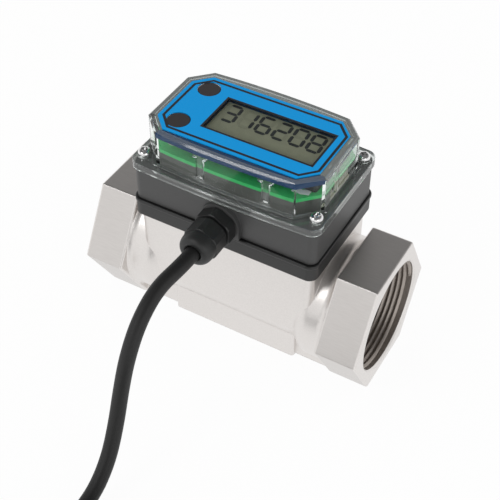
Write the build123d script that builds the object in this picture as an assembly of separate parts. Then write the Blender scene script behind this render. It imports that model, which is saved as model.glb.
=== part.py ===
from build123d import *
from math import copysign, cos, hypot, pi, radians, sin, tan
import os

# Steel body. All sizes are in millimetres, angles in degrees.
HEX_ACROSS_FLATS = 57.15
HEX_LENGTH = 18.23
BODY_LENGTH = 129.12
HEX_EDGE_ROUND = 0.9
COLLAR_RADIUS = 27.2
COLLAR_FILLET = 2.6
COLLAR_FILLET_RISE = 1.2
WAIST_RADIUS = 22.6
WAIST_LENGTH = 56.0
SHOULDER_LENGTH = 11.0
PAD_CORNER = 3.4
PAD_RISE = 31.025
PAD_DROP = 3.4
PAD_EDGE_ROUND = 1.2
FOOT_LENGTH = 59.2
FOOT_WIDTH = 34.3
FOOT_CORNER = 1.5
KEEL_WIDTH = 29.8

# Flow passage
THREAD_MAJOR_RADIUS = 24.03
PORT_DEPTH = 24.0
PORT_CHAMFER = 0.87
PORT_RUNOUT = 2.5
SEAT_BORE_RADIUS = 19.2
CENTRE_BORE_RADIUS = 18.4
CENTRE_BORE_LENGTH = 21.0
RING_GROOVE_DEPTH = 0.9
RING_THICKNESS = 1.2
RING_WIDTH = 2.4
RING_GAP_ANGLE = 40
RING_SLACK = 0.1

# Turbine
ROTOR_HUB_RADIUS = 7.0
ROTOR_LENGTH = 14.0
ROTOR_TIP_GAP = 0.5
BLADE_COUNT = 6
BLADE_THICKNESS = 1.3
BLADE_EDGE_THICKNESS = 0.65
BLADE_TWIST = 34
BLADE_HUB_OVERLAP = 1.0
HUB_EDGE_ROUND = 0.8
SHAFT_RADIUS = 1.6
SHAFT_FIT = 0.04
SHAFT_CHAMFER = 0.3
ROTOR_BORE_CLEARANCE = 0.2
BEARING_RADIUS = 3.2
BEARING_LENGTH = 4.0
BEARING_LIP_RADIUS = 4.0
BEARING_LIP_LENGTH = 0.8
WASHER_RADIUS = 3.4
WASHER_THICKNESS = 0.6
ROTOR_END_PLAY = 0.1
PRESS_FIT = 0.02

# Vaned supports at each end of the rotor
SUPPORT_LENGTH = 13.5
SUPPORT_RING_WALL = 1.7
VANE_COUNT = 4
VANE_THICKNESS = 1.6
VANE_EDGE_ROUND = 0.6
NOSE_LENGTH = 4.5
SHAFT_SEAT_DEPTH = 8.0
SUPPORT_FIT = 0.05

# Pickup in the pad's well
PICKUP_WALL = 3.0
WELL_RADIUS = 6.0
BOBBIN_RADIUS = 5.7
BOBBIN_CORE_RADIUS = 2.6
BOBBIN_FLANGE = 0.9
BOBBIN_HEIGHT = 9.0
MAGNET_RADIUS = 1.6
WINDING_CLEARANCE = 0.2
LEAD_RADIUS = 0.3
LEAD_SPREAD = 4.3

# Base plate, gasket and module housing
BASE_OVERHANG_X = 1.7
BASE_OVERHANG_Y = 2.0
BASE_CORNER = 4.0
BASE_HEIGHT = 6.1
BASE_FLOOR = 2.6
BASE_WALL = 3.2
COVER_POST_RADIUS = 3.9
BASE_SCREW_INSET_X = 11.7
BASE_SCREW_INSET_Y = 9.3
GASKET_THICKNESS = 2.0
GASKET_PROUD = 0.45
GASKET_WIDTH = 3.6
GASKET_EDGE_ROUND = 0.7
MODULE_INSET_X = 0.5
MODULE_INSET_Y = 0.9
MODULE_CORNER = 3.4
MODULE_HEIGHT = 15.45
MODULE_FLOOR = 2.2
MODULE_CAVITY_INSET = 3.6
MODULE_SEAT_INSET = 1.0
MODULE_SEAT_DEPTH = 3.1
SEAL_OUTSET = 0.75
SEAL_WIDTH = 1.1
SEAL_DEPTH = 0.9

# Clear cover
FLANGE_OVERHANG_X = 1.0
FLANGE_OVERHANG_Y = 0.75
FLANGE_BOW = 1.3
FLANGE_CORNER = 4.6
FLANGE_THICKNESS = 3.45
PLATEAU_WIDTH = 1.3
PLATEAU_HEIGHT = 0.4
BUTTON_WALL_GAP = 4.3
BUTTON_FRAME_GAP = 0.85
FRAME_END_GAP = 2.35
WALL_WIDTH = 45.2
WALL_BOW = 1.2
WALL_MARGIN_X = 2.1
WALL_MARGIN_Y = 2.8
WALL_CUT_X = 8.4
WALL_CUT_Y = 8.6
WALL_THICKNESS = 2.3
WALL_CENTRE_X = -0.5
COVER_HEIGHT = 19.15
COVER_EDGE_CHAMFER = 0.8
RIM_HEIGHT = 0.6
DECK_THICKNESS = 2.3
CLIP_OFFSETS_X = (-17.6, 10.8)
CLIP_END_Y = -2.9
CLIP_WIDTH = 3.0
CLIP_DEPTH = 1.3
CLIP_HEAD_WIDTH = 6.0
CLIP_HEAD_HEIGHT = 2.6
CLIP_BELOW_BOARD = 4.4
CLIP_CLEARANCE = 0.3

# Screws
COVER_SCREW_INSET_X = 2.9
COVER_SCREW_INSET_Y = 5.2
COVER_SCREW_RADIUS = 1.5
COVER_SCREW_HEAD_RADIUS = 2.7
COVER_SCREW_HEAD_HEIGHT = 2.4
COVER_SCREW_GRIP = 4.2
BASE_SCREW_RADIUS = 2.0
BASE_SCREW_HEAD_RADIUS = 3.5
BASE_SCREW_HEAD_HEIGHT = 2.2
BASE_SCREW_GRIP = 8.0
BOARD_SCREW_RADIUS = 1.0
BOARD_SCREW_HEAD_RADIUS = 1.9
BOARD_SCREW_HEAD_HEIGHT = 1.3
BOARD_SCREW_GRIP = 3.5
SCREW_CLEARANCE = 0.15
TAPPED_CLEARANCE = 0.05
HEAD_ROUND_SHARE = 0.62
RECESS_DEPTH_SHARE = 0.55
RECESS_LENGTH_SHARE = 0.55
RECESS_WIDTH_SHARE = 0.15

# Label, buttons and display
LABEL_INSET = 3.4
LABEL_THICKNESS = 0.4
WINDOW_MARGIN_X = 2.1
WINDOW_MARGIN_Y = 1.9
BUTTON_Y = 11.45
BUTTON_RADIUS = 4.7
BUTTON_FIT = 0.1
BUTTON_SUNK = 0.1
BUTTON_LIP = 0.9
BUTTON_LIP_HEIGHT = 1.15
BUTTON_EDGE_CHAMFER = 0.3
BUTTON_SEAT_GAP = 0.05
BUTTON_TRAVEL = 0.8
SWITCH_RADIUS = 4.5
SWITCH_HEIGHT = 2.5
PLUNGER_RADIUS = 1.75
PLUNGER_DEPTH = 1.3
GLASS_LENGTH = 51.4
GLASS_WIDTH = 23.6
GLASS_THICKNESS = 2.2
GLASS_GAP = 0.2
FRAME_WALL = 1.3
FRAME_LEDGE = 2.2
FRAME_FIT = 0.15
STRIP_WIDTH = 2.0
STRIP_Y = 8.4

# Circuit board and what carries it
BOARD_RISE = 8.75
BOARD_THICKNESS = 1.6
BOARD_GAP = 0.35
CARRIER_GAP = 0.2
CARRIER_FLANGE = 3.0
CARRIER_WALL = 1.6
CARRIER_FLOOR = 1.2
BOARD_SCREW_BUTTON_OFFSET = 4.4
BOARD_SCREW_WINDOW_OFFSET = 20.5
BOARD_SCREW_FRAME_GAP = 1.25
BOARD_POST_RADIUS = 2.6
CELL_RADIUS = 12.25
CELL_THICKNESS = 4.6
CELL_X = 14.6
CELL_RIB = 1.0
CELL_RIB_HEIGHT = 2.6
CELL_FIT = 0.25
CONTACT_WIDTH = 4.0
CONTACT_LENGTH = 9.0
CONTACT_THICKNESS = 0.3
PIN_COUNT = 12
PIN_PITCH = 1.55
PIN_WIDTH = 0.64
PIN_ROW_Y = 2.5
PIN_INSET = 2.2
PIN_BLOCK_WIDTH = 1.8
PIN_BLOCK_HEIGHT = 1.4

# Cable gland
GLAND_HEIGHT = 5.3
BOSS_RADIUS = 8.86
BOSS_DEPTH = 2.0
GLAND_TAIL_RADIUS = 4.5
GLAND_TAIL_LENGTH = 6.4
GLAND_HEX = 15.0
GLAND_HEX_CORNER = 8.15
GLAND_FLANGE = 5.2
GLAND_BARREL_RADIUS = 6.0
GLAND_BARREL_LENGTH = 8.6
GLAND_THROAT_RADIUS = 3.35
GLAND_SEAL_RADIUS = 4.7
GLAND_FINGER_COUNT = 6
GLAND_FINGER_LENGTH = 3.6
GLAND_FINGER_SLOT = 0.9
NUT_GAP = 0.9
NUT_HEX = 14.2
NUT_HEX_CORNER = 7.6
NUT_HEX_LENGTH = 7.4
NUT_NECK_LENGTH = 1.0
NUT_DOME_LENGTH = 4.7
NUT_TIP_RADIUS = 4.1
NUT_MOUTH_FLARE = 0.5
NUT_FIT = 0.1
ORING_SECTION = 0.6
ORING_RADIUS = 5.5

# Cable
CABLE_RADIUS = 3.15
SEAL_SQUEEZE_GAP = 0.05
CABLE_ENTRY_Y = -21.0
CABLE_ROUTE = [
    (0.0, -40.5, 73.0),
    (0.0, -53.5, 73.0),
    (-3.4, -65.7, 69.9),
    (-3.9, -78.2, 62.7),
    (-4.0, -87.0, 51.2),
    (-4.7, -91.6, 37.7),
    (-3.1, -99.0, 25.6),
    (-1.1, -108.7, 15.3),
    (-0.7, -120.5, 7.6),
    (-2.6, -134.5, 4.5),
    (-3.6, -148.9, 3.15),
]
ARC_SHARE = 0.45
COIL_CENTRE = (37.3, -165.3)
COIL_MEAN_RADIUS = 34.6
COIL_RANKS = 3
COIL_LAYERS = 3
COIL_EDGE_ROUND = 3.0
END_ANGLE = 250
END_TURN_IN = 45
END_LENGTH = 20.0
WIRE_COUNT = 3
WIRE_RADIUS = 0.9
WIRE_PITCH = 2.0
WIRE_LENGTH = 32.0
WIRE_FAN = 8
WIRE_DROP = 3.8
INNER_WIRE_RADIUS = 0.5
INNER_WIRE_SPACING = 2.2
INNER_WIRE_BEND = 5.0
INNER_WIRE_RUN = 10.0

# Heights worked out from the sizes above
AXIS_Z = HEX_ACROSS_FLATS / 2
PAD_TOP_Z = AXIS_Z + PAD_RISE
BASE_TOP_Z = PAD_TOP_Z + BASE_HEIGHT
GASKET_TOP_Z = BASE_TOP_Z + GASKET_THICKNESS
MODULE_TOP_Z = GASKET_TOP_Z + MODULE_HEIGHT
GLAND_Z = GASKET_TOP_Z + GLAND_HEIGHT
FLANGE_TOP_Z = MODULE_TOP_Z + FLANGE_THICKNESS
SCREW_SEAT_Z = FLANGE_TOP_Z + PLATEAU_HEIGHT
COVER_TOP_Z = MODULE_TOP_Z + COVER_HEIGHT
DECK_TOP_Z = COVER_TOP_Z - RIM_HEIGHT
DECK_UNDER_Z = DECK_TOP_Z - DECK_THICKNESS
LABEL_TOP_Z = DECK_TOP_Z + LABEL_THICKNESS
BOARD_UNDER_Z = MODULE_TOP_Z + BOARD_RISE
BOARD_TOP_Z = BOARD_UNDER_Z + BOARD_THICKNESS
CARRIER_LOW_Z = MODULE_TOP_Z - MODULE_SEAT_DEPTH
CARRIER_FLANGE_Z = CARRIER_LOW_Z + CARRIER_FLANGE
CELL_LOW_Z = CARRIER_LOW_Z + CARRIER_FLOOR
CELL_TOP_Z = BOARD_UNDER_Z - CONTACT_THICKNESS
WELL_FLOOR_Z = AXIS_Z + CENTRE_BORE_RADIUS + PICKUP_WALL
SWITCH_TOP_Z = BOARD_TOP_Z + SWITCH_HEIGHT
BUTTON_LIP_Z = DECK_UNDER_Z - BUTTON_SEAT_GAP
BUTTON_LOW_Z = BUTTON_LIP_Z - BUTTON_LIP_HEIGHT
GLASS_TOP_Z = DECK_UNDER_Z - GLASS_GAP
GLASS_LOW_Z = GLASS_TOP_Z - GLASS_THICKNESS

# Plan sizes worked out from the sizes above
FRAME_LENGTH = GLASS_LENGTH + 2 * (FRAME_FIT + FRAME_WALL)
FRAME_WIDTH = GLASS_WIDTH + 2 * (FRAME_FIT + FRAME_WALL)
BUTTON_LIP_RADIUS = BUTTON_RADIUS + BUTTON_LIP
WALL_LENGTH = (
    2 * WALL_THICKNESS
    + BUTTON_WALL_GAP
    + 2 * BUTTON_LIP_RADIUS
    + BUTTON_FRAME_GAP
    + FRAME_LENGTH
    + FRAME_END_GAP
)
WINDOW_X = WALL_CENTRE_X + WALL_LENGTH / 2 - WALL_THICKNESS - FRAME_END_GAP - FRAME_LENGTH / 2
WINDOW_LENGTH = GLASS_LENGTH - 2 * WINDOW_MARGIN_X
WINDOW_WIDTH = GLASS_WIDTH - 2 * WINDOW_MARGIN_Y
BUTTON_X = WINDOW_X - FRAME_LENGTH / 2 - BUTTON_FRAME_GAP - BUTTON_LIP_RADIUS
MODULE_LENGTH = WALL_LENGTH + 2 * WALL_MARGIN_X
MODULE_WIDTH = WALL_WIDTH + 2 * WALL_MARGIN_Y
BASE_LENGTH = MODULE_LENGTH + 2 * MODULE_INSET_X
BASE_WIDTH = MODULE_WIDTH + 2 * MODULE_INSET_Y
PAD_LENGTH = BASE_LENGTH - 2 * BASE_OVERHANG_X
PAD_WIDTH = BASE_WIDTH - 2 * BASE_OVERHANG_Y
BASE_SCREW_X = PAD_LENGTH / 2 - BASE_SCREW_INSET_X
BASE_SCREW_Y = PAD_WIDTH / 2 - BASE_SCREW_INSET_Y
BOARD_SCREW_PLACES = (
    (BUTTON_X - BOARD_SCREW_BUTTON_OFFSET, 0),
    (
        WINDOW_X + BOARD_SCREW_WINDOW_OFFSET,
        FRAME_WIDTH / 2 + BOARD_SCREW_HEAD_RADIUS + BOARD_SCREW_FRAME_GAP,
    ),
)
COVER_SCREW_X = MODULE_LENGTH / 2 - COVER_SCREW_INSET_X
COVER_SCREW_Y = MODULE_WIDTH / 2 - COVER_SCREW_INSET_Y
FLANGE_LENGTH = MODULE_LENGTH + 2 * FLANGE_OVERHANG_X
FLANGE_WIDTH = MODULE_WIDTH + 2 * FLANGE_OVERHANG_Y
BOSS_FACE_Y = -MODULE_WIDTH / 2 - BOSS_DEPTH
SUPPORT_INNER_X = CENTRE_BORE_LENGTH / 2
SUPPORT_OUTER_X = SUPPORT_INNER_X + SUPPORT_LENGTH
SUPPORT_RADIUS = SEAT_BORE_RADIUS - SUPPORT_FIT
ROTOR_TIP_RADIUS = CENTRE_BORE_RADIUS - ROTOR_TIP_GAP
BEARING_END_X = ROTOR_LENGTH / 2 + BEARING_LIP_LENGTH
WASHER_END_X = BEARING_END_X + ROTOR_END_PLAY + WASHER_THICKNESS
CLEARANCE_OVER = 1.0


def cylinder_x(radius, low, high):
    """Round bar along the flow axis between two stations."""
    return Pos(low, 0, AXIS_Z) * extrude(Plane.YZ * Circle(radius), amount=high - low)


def cylinder_z(x, y, radius, low, high):
    """Upright round bar between two heights."""
    return Pos(x, y, low) * extrude(Circle(radius), amount=high - low)


def block(x_span, y_span, z_span):
    """Box between two limits on each axis."""
    size = [high - low for low, high in (x_span, y_span, z_span)]
    centre = [(low + high) / 2 for low, high in (x_span, y_span, z_span)]
    return Pos(*centre) * Box(*size)


def rounded_block(length, width, corner, low, high):
    """Upright block with rounded corners in plan, centred on the origin."""
    return Pos(0, 0, low) * extrude(RectangleRounded(length, width, corner), amount=high - low)


def wall_corners(inset):
    """Eight corners of the cover's wall, moved in by an inset, about the wall's centre."""
    slant = hypot(WALL_CUT_X, WALL_CUT_Y)
    cut_x = WALL_CUT_X - inset * (1 - (slant - WALL_CUT_X) / WALL_CUT_Y)
    cut_y = WALL_CUT_Y - inset * (1 - (slant - WALL_CUT_Y) / WALL_CUT_X)
    x = WALL_LENGTH / 2 - inset
    y = WALL_WIDTH / 2 - inset
    quarter = [(x, y - cut_y), (x - cut_x, y)]
    points = quarter + [(-px, py) for px, py in reversed(quarter)]
    points += [(-px, -py) for px, py in quarter]
    points += [(px, -py) for px, py in reversed(quarter)]
    return points


def octagon_block(inset, low, high):
    """Upright block in the outline of the cover's wall, its two long sides bowed outwards."""
    points = wall_corners(inset)
    edges = []
    for start, end in zip(points, points[1:] + points[:1]):
        if start[1] == end[1]:
            middle = (0, start[1] + copysign(WALL_BOW, start[1]))
            edges.append(ThreePointArc(start, middle, end))
        else:
            edges.append(Line(start, end))
    return Pos(WALL_CENTRE_X, 0, low) * extrude(make_face(edges), amount=high - low)


def corners(x, y):
    """Four places mirrored about the centre lines."""
    return [(sx * x, sy * y) for sx in (-1, 1) for sy in (-1, 1)]


def turned_x(points):
    """Solid turned about the flow axis from a closed profile of station and radius."""
    profile = make_face(Polyline(*[(x, 0, r) for x, r in points], close=True))
    return Pos(0, 0, AXIS_Z) * revolve(profile, axis=Axis.X)


def turned_gland(points):
    """Solid turned about the gland axis; the first number runs outwards along the gland."""
    profile = make_face(Polyline(*[(0, -out, r) for out, r in points], close=True))
    return Pos(0, 0, GLAND_Z) * revolve(profile, axis=Axis.Y)


def pan_screw(radius, head_radius, head_height, grip):
    """Pan head screw, seat at the origin, shank downwards, with a cross recess."""
    head = cylinder_z(0, 0, head_radius, 0, head_height)
    head = fillet(head.edges().sort_by(Axis.Z)[-1], head_height * HEAD_ROUND_SHARE)
    slot = Box(
        2 * head_radius * RECESS_LENGTH_SHARE,
        2 * head_radius * RECESS_WIDTH_SHARE,
        2 * head_height * RECESS_DEPTH_SHARE,
    )
    for turn in (0, 90):
        head -= Pos(0, 0, head_height) * Rot(0, 0, turn) * slot
    return head + cylinder_z(0, 0, radius, -grip, 0)


def hexagon_x(sign):
    """One hexagonal port end with its turned edge."""
    inner = BODY_LENGTH / 2 - HEX_LENGTH
    sketch = Plane.YZ * RegularPolygon(HEX_ACROSS_FLATS / 2, 6, major_radius=False)
    prism = Pos(inner, 0, AXIS_Z) * extrude(sketch, amount=HEX_LENGTH)
    prism = fillet(prism.edges(), HEX_EDGE_ROUND)
    return prism if sign > 0 else mirror(prism, Plane.YZ)


def barrel():
    """Waisted barrel with an S-shaped shoulder up to a collar at each hexagon."""
    waist = WAIST_LENGTH / 2
    shoulder = waist + SHOULDER_LENGTH
    end = BODY_LENGTH / 2 - HEX_LENGTH
    rise = Spline(
        (waist, 0, WAIST_RADIUS), (shoulder, 0, COLLAR_RADIUS), tangents=[(1, 0, 0), (1, 0, 0)]
    )
    fillet_top = (end, 0, COLLAR_RADIUS + COLLAR_FILLET_RISE)
    sweep_up = Spline(
        (end - COLLAR_FILLET, 0, COLLAR_RADIUS), fillet_top, tangents=[(1, 0, 0), (1, 0, 1)]
    )
    outline = [
        Line((0, 0, 0), (0, 0, WAIST_RADIUS)),
        Line((0, 0, WAIST_RADIUS), (waist, 0, WAIST_RADIUS)),
        rise,
        Line((shoulder, 0, COLLAR_RADIUS), (end - COLLAR_FILLET, 0, COLLAR_RADIUS)),
        sweep_up,
        Line(fillet_top, (end + CLEARANCE_OVER, 0, fillet_top[2])),
        Line((end + CLEARANCE_OVER, 0, fillet_top[2]), (end + CLEARANCE_OVER, 0, 0)),
        Line((end + CLEARANCE_OVER, 0, 0), (0, 0, 0)),
    ]
    half = Pos(0, 0, AXIS_Z) * revolve(make_face(outline), axis=Axis.X)
    return half + mirror(half, Plane.YZ)


def flow_passage():
    """Everything cut along the flow axis: ports, run-outs, seats and spring ring grooves."""
    end = BODY_LENGTH / 2
    port = end - PORT_DEPTH
    groove = SUPPORT_OUTER_X
    groove_end = groove + RING_THICKNESS + RING_SLACK
    groove_radius = SEAT_BORE_RADIUS + RING_GROOVE_DEPTH
    points = [
        (0, 0),
        (0, CENTRE_BORE_RADIUS),
        (SUPPORT_INNER_X, CENTRE_BORE_RADIUS),
        (SUPPORT_INNER_X, SEAT_BORE_RADIUS),
        (groove, SEAT_BORE_RADIUS),
        (groove, groove_radius),
        (groove_end, groove_radius),
        (groove_end, SEAT_BORE_RADIUS),
        (port - PORT_RUNOUT, SEAT_BORE_RADIUS),
        (port, THREAD_MAJOR_RADIUS),
        (end - PORT_CHAMFER, THREAD_MAJOR_RADIUS),
        (end, THREAD_MAJOR_RADIUS + PORT_CHAMFER),
        (end + CLEARANCE_OVER, THREAD_MAJOR_RADIUS + PORT_CHAMFER),
        (end + CLEARANCE_OVER, 0),
    ]
    half = turned_x(points)
    return half + mirror(half, Plane.YZ)


def meter_body():
    """Cast body with two hexagonal ports, barrel, pad for the display and foot."""
    pad = rounded_block(PAD_LENGTH, PAD_WIDTH, PAD_CORNER, AXIS_Z - PAD_DROP, PAD_TOP_Z)
    pad = fillet(pad.faces().sort_by(Axis.Z)[0].edges(), PAD_EDGE_ROUND)
    foot = rounded_block(FOOT_LENGTH, FOOT_WIDTH, FOOT_CORNER, 0, AXIS_Z)
    keel_reach = BODY_LENGTH / 2 - HEX_LENGTH + HEX_EDGE_ROUND
    keel = block((-keel_reach, keel_reach), (-KEEL_WIDTH / 2, KEEL_WIDTH / 2), (0, AXIS_Z))
    body = barrel() + pad + foot + keel + hexagon_x(1) + hexagon_x(-1)
    body -= flow_passage()
    body -= cylinder_z(0, 0, WELL_RADIUS, WELL_FLOOR_Z, PAD_TOP_Z + CLEARANCE_OVER)
    for x, y in corners(BASE_SCREW_X, BASE_SCREW_Y):
        hole_radius = BASE_SCREW_RADIUS + TAPPED_CLEARANCE
        depth = BASE_SCREW_GRIP - BASE_FLOOR + CLEARANCE_OVER
        body -= cylinder_z(x, y, hole_radius, PAD_TOP_Z - depth, PAD_TOP_Z + CLEARANCE_OVER)
    return body


def flow_support():
    """Vaned support on the outlet side: hub with a rounded nose, vanes and ring."""
    ring = cylinder_x(SUPPORT_RADIUS, SUPPORT_INNER_X, SUPPORT_OUTER_X)
    ring -= cylinder_x(SUPPORT_RADIUS - SUPPORT_RING_WALL, SUPPORT_INNER_X, SUPPORT_OUTER_X)
    shoulder = SUPPORT_OUTER_X - NOSE_LENGTH
    nose = [
        Line((WASHER_END_X, 0, 0), (WASHER_END_X, 0, ROTOR_HUB_RADIUS)),
        Line((WASHER_END_X, 0, ROTOR_HUB_RADIUS), (shoulder, 0, ROTOR_HUB_RADIUS)),
        Spline(
            (shoulder, 0, ROTOR_HUB_RADIUS), (SUPPORT_OUTER_X, 0, 0), tangents=[(1, 0, 0), (0, 0, -1)]
        ),
        Line((SUPPORT_OUTER_X, 0, 0), (WASHER_END_X, 0, 0)),
    ]
    hub = Pos(0, 0, AXIS_Z) * revolve(make_face(nose), axis=Axis.X)
    vane_reach = SUPPORT_RADIUS - SUPPORT_RING_WALL / 2
    vane_end = shoulder + NOSE_LENGTH / 4
    vanes = []
    for number in range(VANE_COUNT):
        vane = block(
            (SUPPORT_INNER_X, vane_end),
            (-VANE_THICKNESS / 2, VANE_THICKNESS / 2),
            (ROTOR_HUB_RADIUS / 2, vane_reach),
        )
        vane = fillet(vane.edges().filter_by(Axis.Z), VANE_EDGE_ROUND)
        vanes.append(Pos(0, 0, AXIS_Z) * Rot(360 * (number + 0.5) / VANE_COUNT, 0, 0) * vane)
    support = ring + hub + vanes
    seat_end = WASHER_END_X + SHAFT_SEAT_DEPTH
    return support - cylinder_x(SHAFT_RADIUS + PRESS_FIT, WASHER_END_X - CLEARANCE_OVER, seat_end)


def blade_section(station, turn):
    """Cross-section of one blade at a station along the flow, turned about the flow axis."""
    root = ROTOR_HUB_RADIUS - BLADE_HUB_OVERLAP
    reach = ROTOR_TIP_RADIUS + CLEARANCE_OVER
    towards_edge = abs(station) / (ROTOR_LENGTH / 2)
    thickness = BLADE_THICKNESS + (BLADE_EDGE_THICKNESS - BLADE_THICKNESS) * towards_edge
    sketch = Pos((root + reach) / 2, 0) * Rectangle(reach - root, thickness)
    return Plane.YZ.offset(station) * Rot(0, 0, 90 + turn) * sketch


def rotor_blade():
    """One helical blade, thinner at its leading and trailing edges."""
    stations = [-1, -0.5, 0, 0.5, 1]
    sections = [blade_section(s * ROTOR_LENGTH / 2, s * BLADE_TWIST / 2) for s in stations]
    return loft(sections)


def rotor():
    """Turbine rotor: hub, helical blades trimmed to the bore, and seats for two bearings."""
    half = ROTOR_LENGTH / 2
    hub = extrude(Plane.YZ.offset(-half) * Circle(ROTOR_HUB_RADIUS), amount=ROTOR_LENGTH)
    hub = fillet(hub.edges(), HUB_EDGE_ROUND)
    wheel = hub + [Rot(360 * n / BLADE_COUNT, 0, 0) * rotor_blade() for n in range(BLADE_COUNT)]
    wheel &= extrude(Plane.YZ.offset(-half) * Circle(ROTOR_TIP_RADIUS), amount=ROTOR_LENGTH)
    bore = SHAFT_RADIUS + ROTOR_BORE_CLEARANCE
    wheel -= extrude(Plane.YZ.offset(-half) * Circle(bore), amount=ROTOR_LENGTH)
    seat = BEARING_RADIUS + PRESS_FIT
    for start in (-half, half - BEARING_LENGTH):
        wheel -= extrude(Plane.YZ.offset(start) * Circle(seat), amount=BEARING_LENGTH)
    return Pos(0, 0, AXIS_Z) * wheel


def rotor_bearings():
    """Two flanged sleeves pressed into the rotor's ends."""
    half = ROTOR_LENGTH / 2
    inner = SHAFT_RADIUS + SHAFT_FIT
    sleeve = turned_x(
        [
            (half - BEARING_LENGTH, inner),
            (half - BEARING_LENGTH, BEARING_RADIUS),
            (half, BEARING_RADIUS),
            (half, BEARING_LIP_RADIUS),
            (BEARING_END_X, BEARING_LIP_RADIUS),
            (BEARING_END_X, inner),
        ]
    )
    return Compound(children=[sleeve, mirror(sleeve, Plane.YZ)])


def rotor_shaft():
    """Hard shaft seated in both supports, with chamfered ends."""
    end = WASHER_END_X + SHAFT_SEAT_DEPTH - PRESS_FIT
    bar = cylinder_x(SHAFT_RADIUS, -end, end)
    return chamfer(bar.edges(), SHAFT_CHAMFER)


def thrust_washers():
    """A hard washer on the shaft between each bearing and its support."""
    washers = []
    for low in (WASHER_END_X - WASHER_THICKNESS, -WASHER_END_X):
        disc = cylinder_x(WASHER_RADIUS, low, low + WASHER_THICKNESS)
        washers.append(disc - cylinder_x(SHAFT_RADIUS + SHAFT_FIT, low, low + WASHER_THICKNESS))
    return Compound(children=washers)


def retaining_rings():
    """Open spring rings that hold the supports in the bore."""
    radius = SEAT_BORE_RADIUS + RING_GROOVE_DEPTH - RING_SLACK
    face = Circle(radius) - Circle(radius - RING_WIDTH)
    reach = 2 * radius
    half_gap = radians(RING_GAP_ANGLE / 2)
    gap = make_face(
        Polyline(
            (0, 0), (reach * sin(half_gap), reach * cos(half_gap)),
            (-reach * sin(half_gap), reach * cos(half_gap)), close=True,
        )
    )
    ring = extrude(Plane.YZ * (face - gap), amount=RING_THICKNESS)
    outlet = Pos(SUPPORT_OUTER_X, 0, AXIS_Z) * ring
    return Compound(children=[outlet, mirror(outlet, Plane.YZ)])


def pickup_bobbin():
    """Spool that carries the pickup winding over the rotor."""
    low = WELL_FLOOR_Z
    high = low + BOBBIN_HEIGHT
    spool = cylinder_z(0, 0, BOBBIN_CORE_RADIUS, low, high)
    spool += cylinder_z(0, 0, BOBBIN_RADIUS, low, low + BOBBIN_FLANGE)
    spool += cylinder_z(0, 0, BOBBIN_RADIUS, high - BOBBIN_FLANGE, high)
    return spool - cylinder_z(0, 0, MAGNET_RADIUS + TAPPED_CLEARANCE, low + BOBBIN_FLANGE / 2, high)


def pickup_winding():
    """Copper winding on the spool."""
    low = WELL_FLOOR_Z + BOBBIN_FLANGE
    high = WELL_FLOOR_Z + BOBBIN_HEIGHT - BOBBIN_FLANGE
    turns = cylinder_z(0, 0, BOBBIN_RADIUS - WINDING_CLEARANCE, low, high)
    return turns - cylinder_z(0, 0, BOBBIN_CORE_RADIUS + TAPPED_CLEARANCE, low, high)


def pickup_magnet():
    """Magnet pushed into the spool's core."""
    low = WELL_FLOOR_Z + BOBBIN_FLANGE / 2
    return cylinder_z(0, 0, MAGNET_RADIUS, low, WELL_FLOOR_Z + BOBBIN_HEIGHT)


def pickup_leads():
    """Two stiff leads from the spool up to the circuit board."""
    low = WELL_FLOOR_Z + BOBBIN_HEIGHT
    leads = [
        cylinder_z(0, side * LEAD_SPREAD, LEAD_RADIUS, low, BOARD_UNDER_Z) for side in (-1, 1)
    ]
    return Compound(children=leads)


def base_plate():
    """Tray between the steel pad and the module, with tapped corner posts."""
    tray = rounded_block(BASE_LENGTH, BASE_WIDTH, BASE_CORNER, PAD_TOP_Z, BASE_TOP_Z)
    tray -= rounded_block(
        BASE_LENGTH - 2 * BASE_WALL,
        BASE_WIDTH - 2 * BASE_WALL,
        BASE_CORNER,
        PAD_TOP_Z + BASE_FLOOR,
        BASE_TOP_Z,
    )
    outer = rounded_block(BASE_LENGTH, BASE_WIDTH, BASE_CORNER, PAD_TOP_Z, BASE_TOP_Z)
    for x, y in corners(COVER_SCREW_X, COVER_SCREW_Y):
        tray += outer & cylinder_z(x, y, COVER_POST_RADIUS, PAD_TOP_Z, BASE_TOP_Z)
    for x, y in corners(COVER_SCREW_X, COVER_SCREW_Y):
        hole_low = BASE_TOP_Z - COVER_SCREW_GRIP - TAPPED_CLEARANCE
        tray -= cylinder_z(x, y, COVER_SCREW_RADIUS + TAPPED_CLEARANCE, hole_low, BASE_TOP_Z)
    for x, y in corners(BASE_SCREW_X, BASE_SCREW_Y):
        tray -= cylinder_z(x, y, BASE_SCREW_RADIUS + SCREW_CLEARANCE, PAD_TOP_Z, BASE_TOP_Z)
    return tray - cylinder_z(0, 0, WELL_RADIUS, PAD_TOP_Z, BASE_TOP_Z)


def base_screws():
    """Four screws that hold the tray to the steel pad."""
    screw = pan_screw(
        BASE_SCREW_RADIUS, BASE_SCREW_HEAD_RADIUS, BASE_SCREW_HEAD_HEIGHT, BASE_SCREW_GRIP
    )
    seat = PAD_TOP_Z + BASE_FLOOR
    return Compound(children=[Pos(x, y, seat) * screw for x, y in corners(BASE_SCREW_X, BASE_SCREW_Y)])


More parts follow.
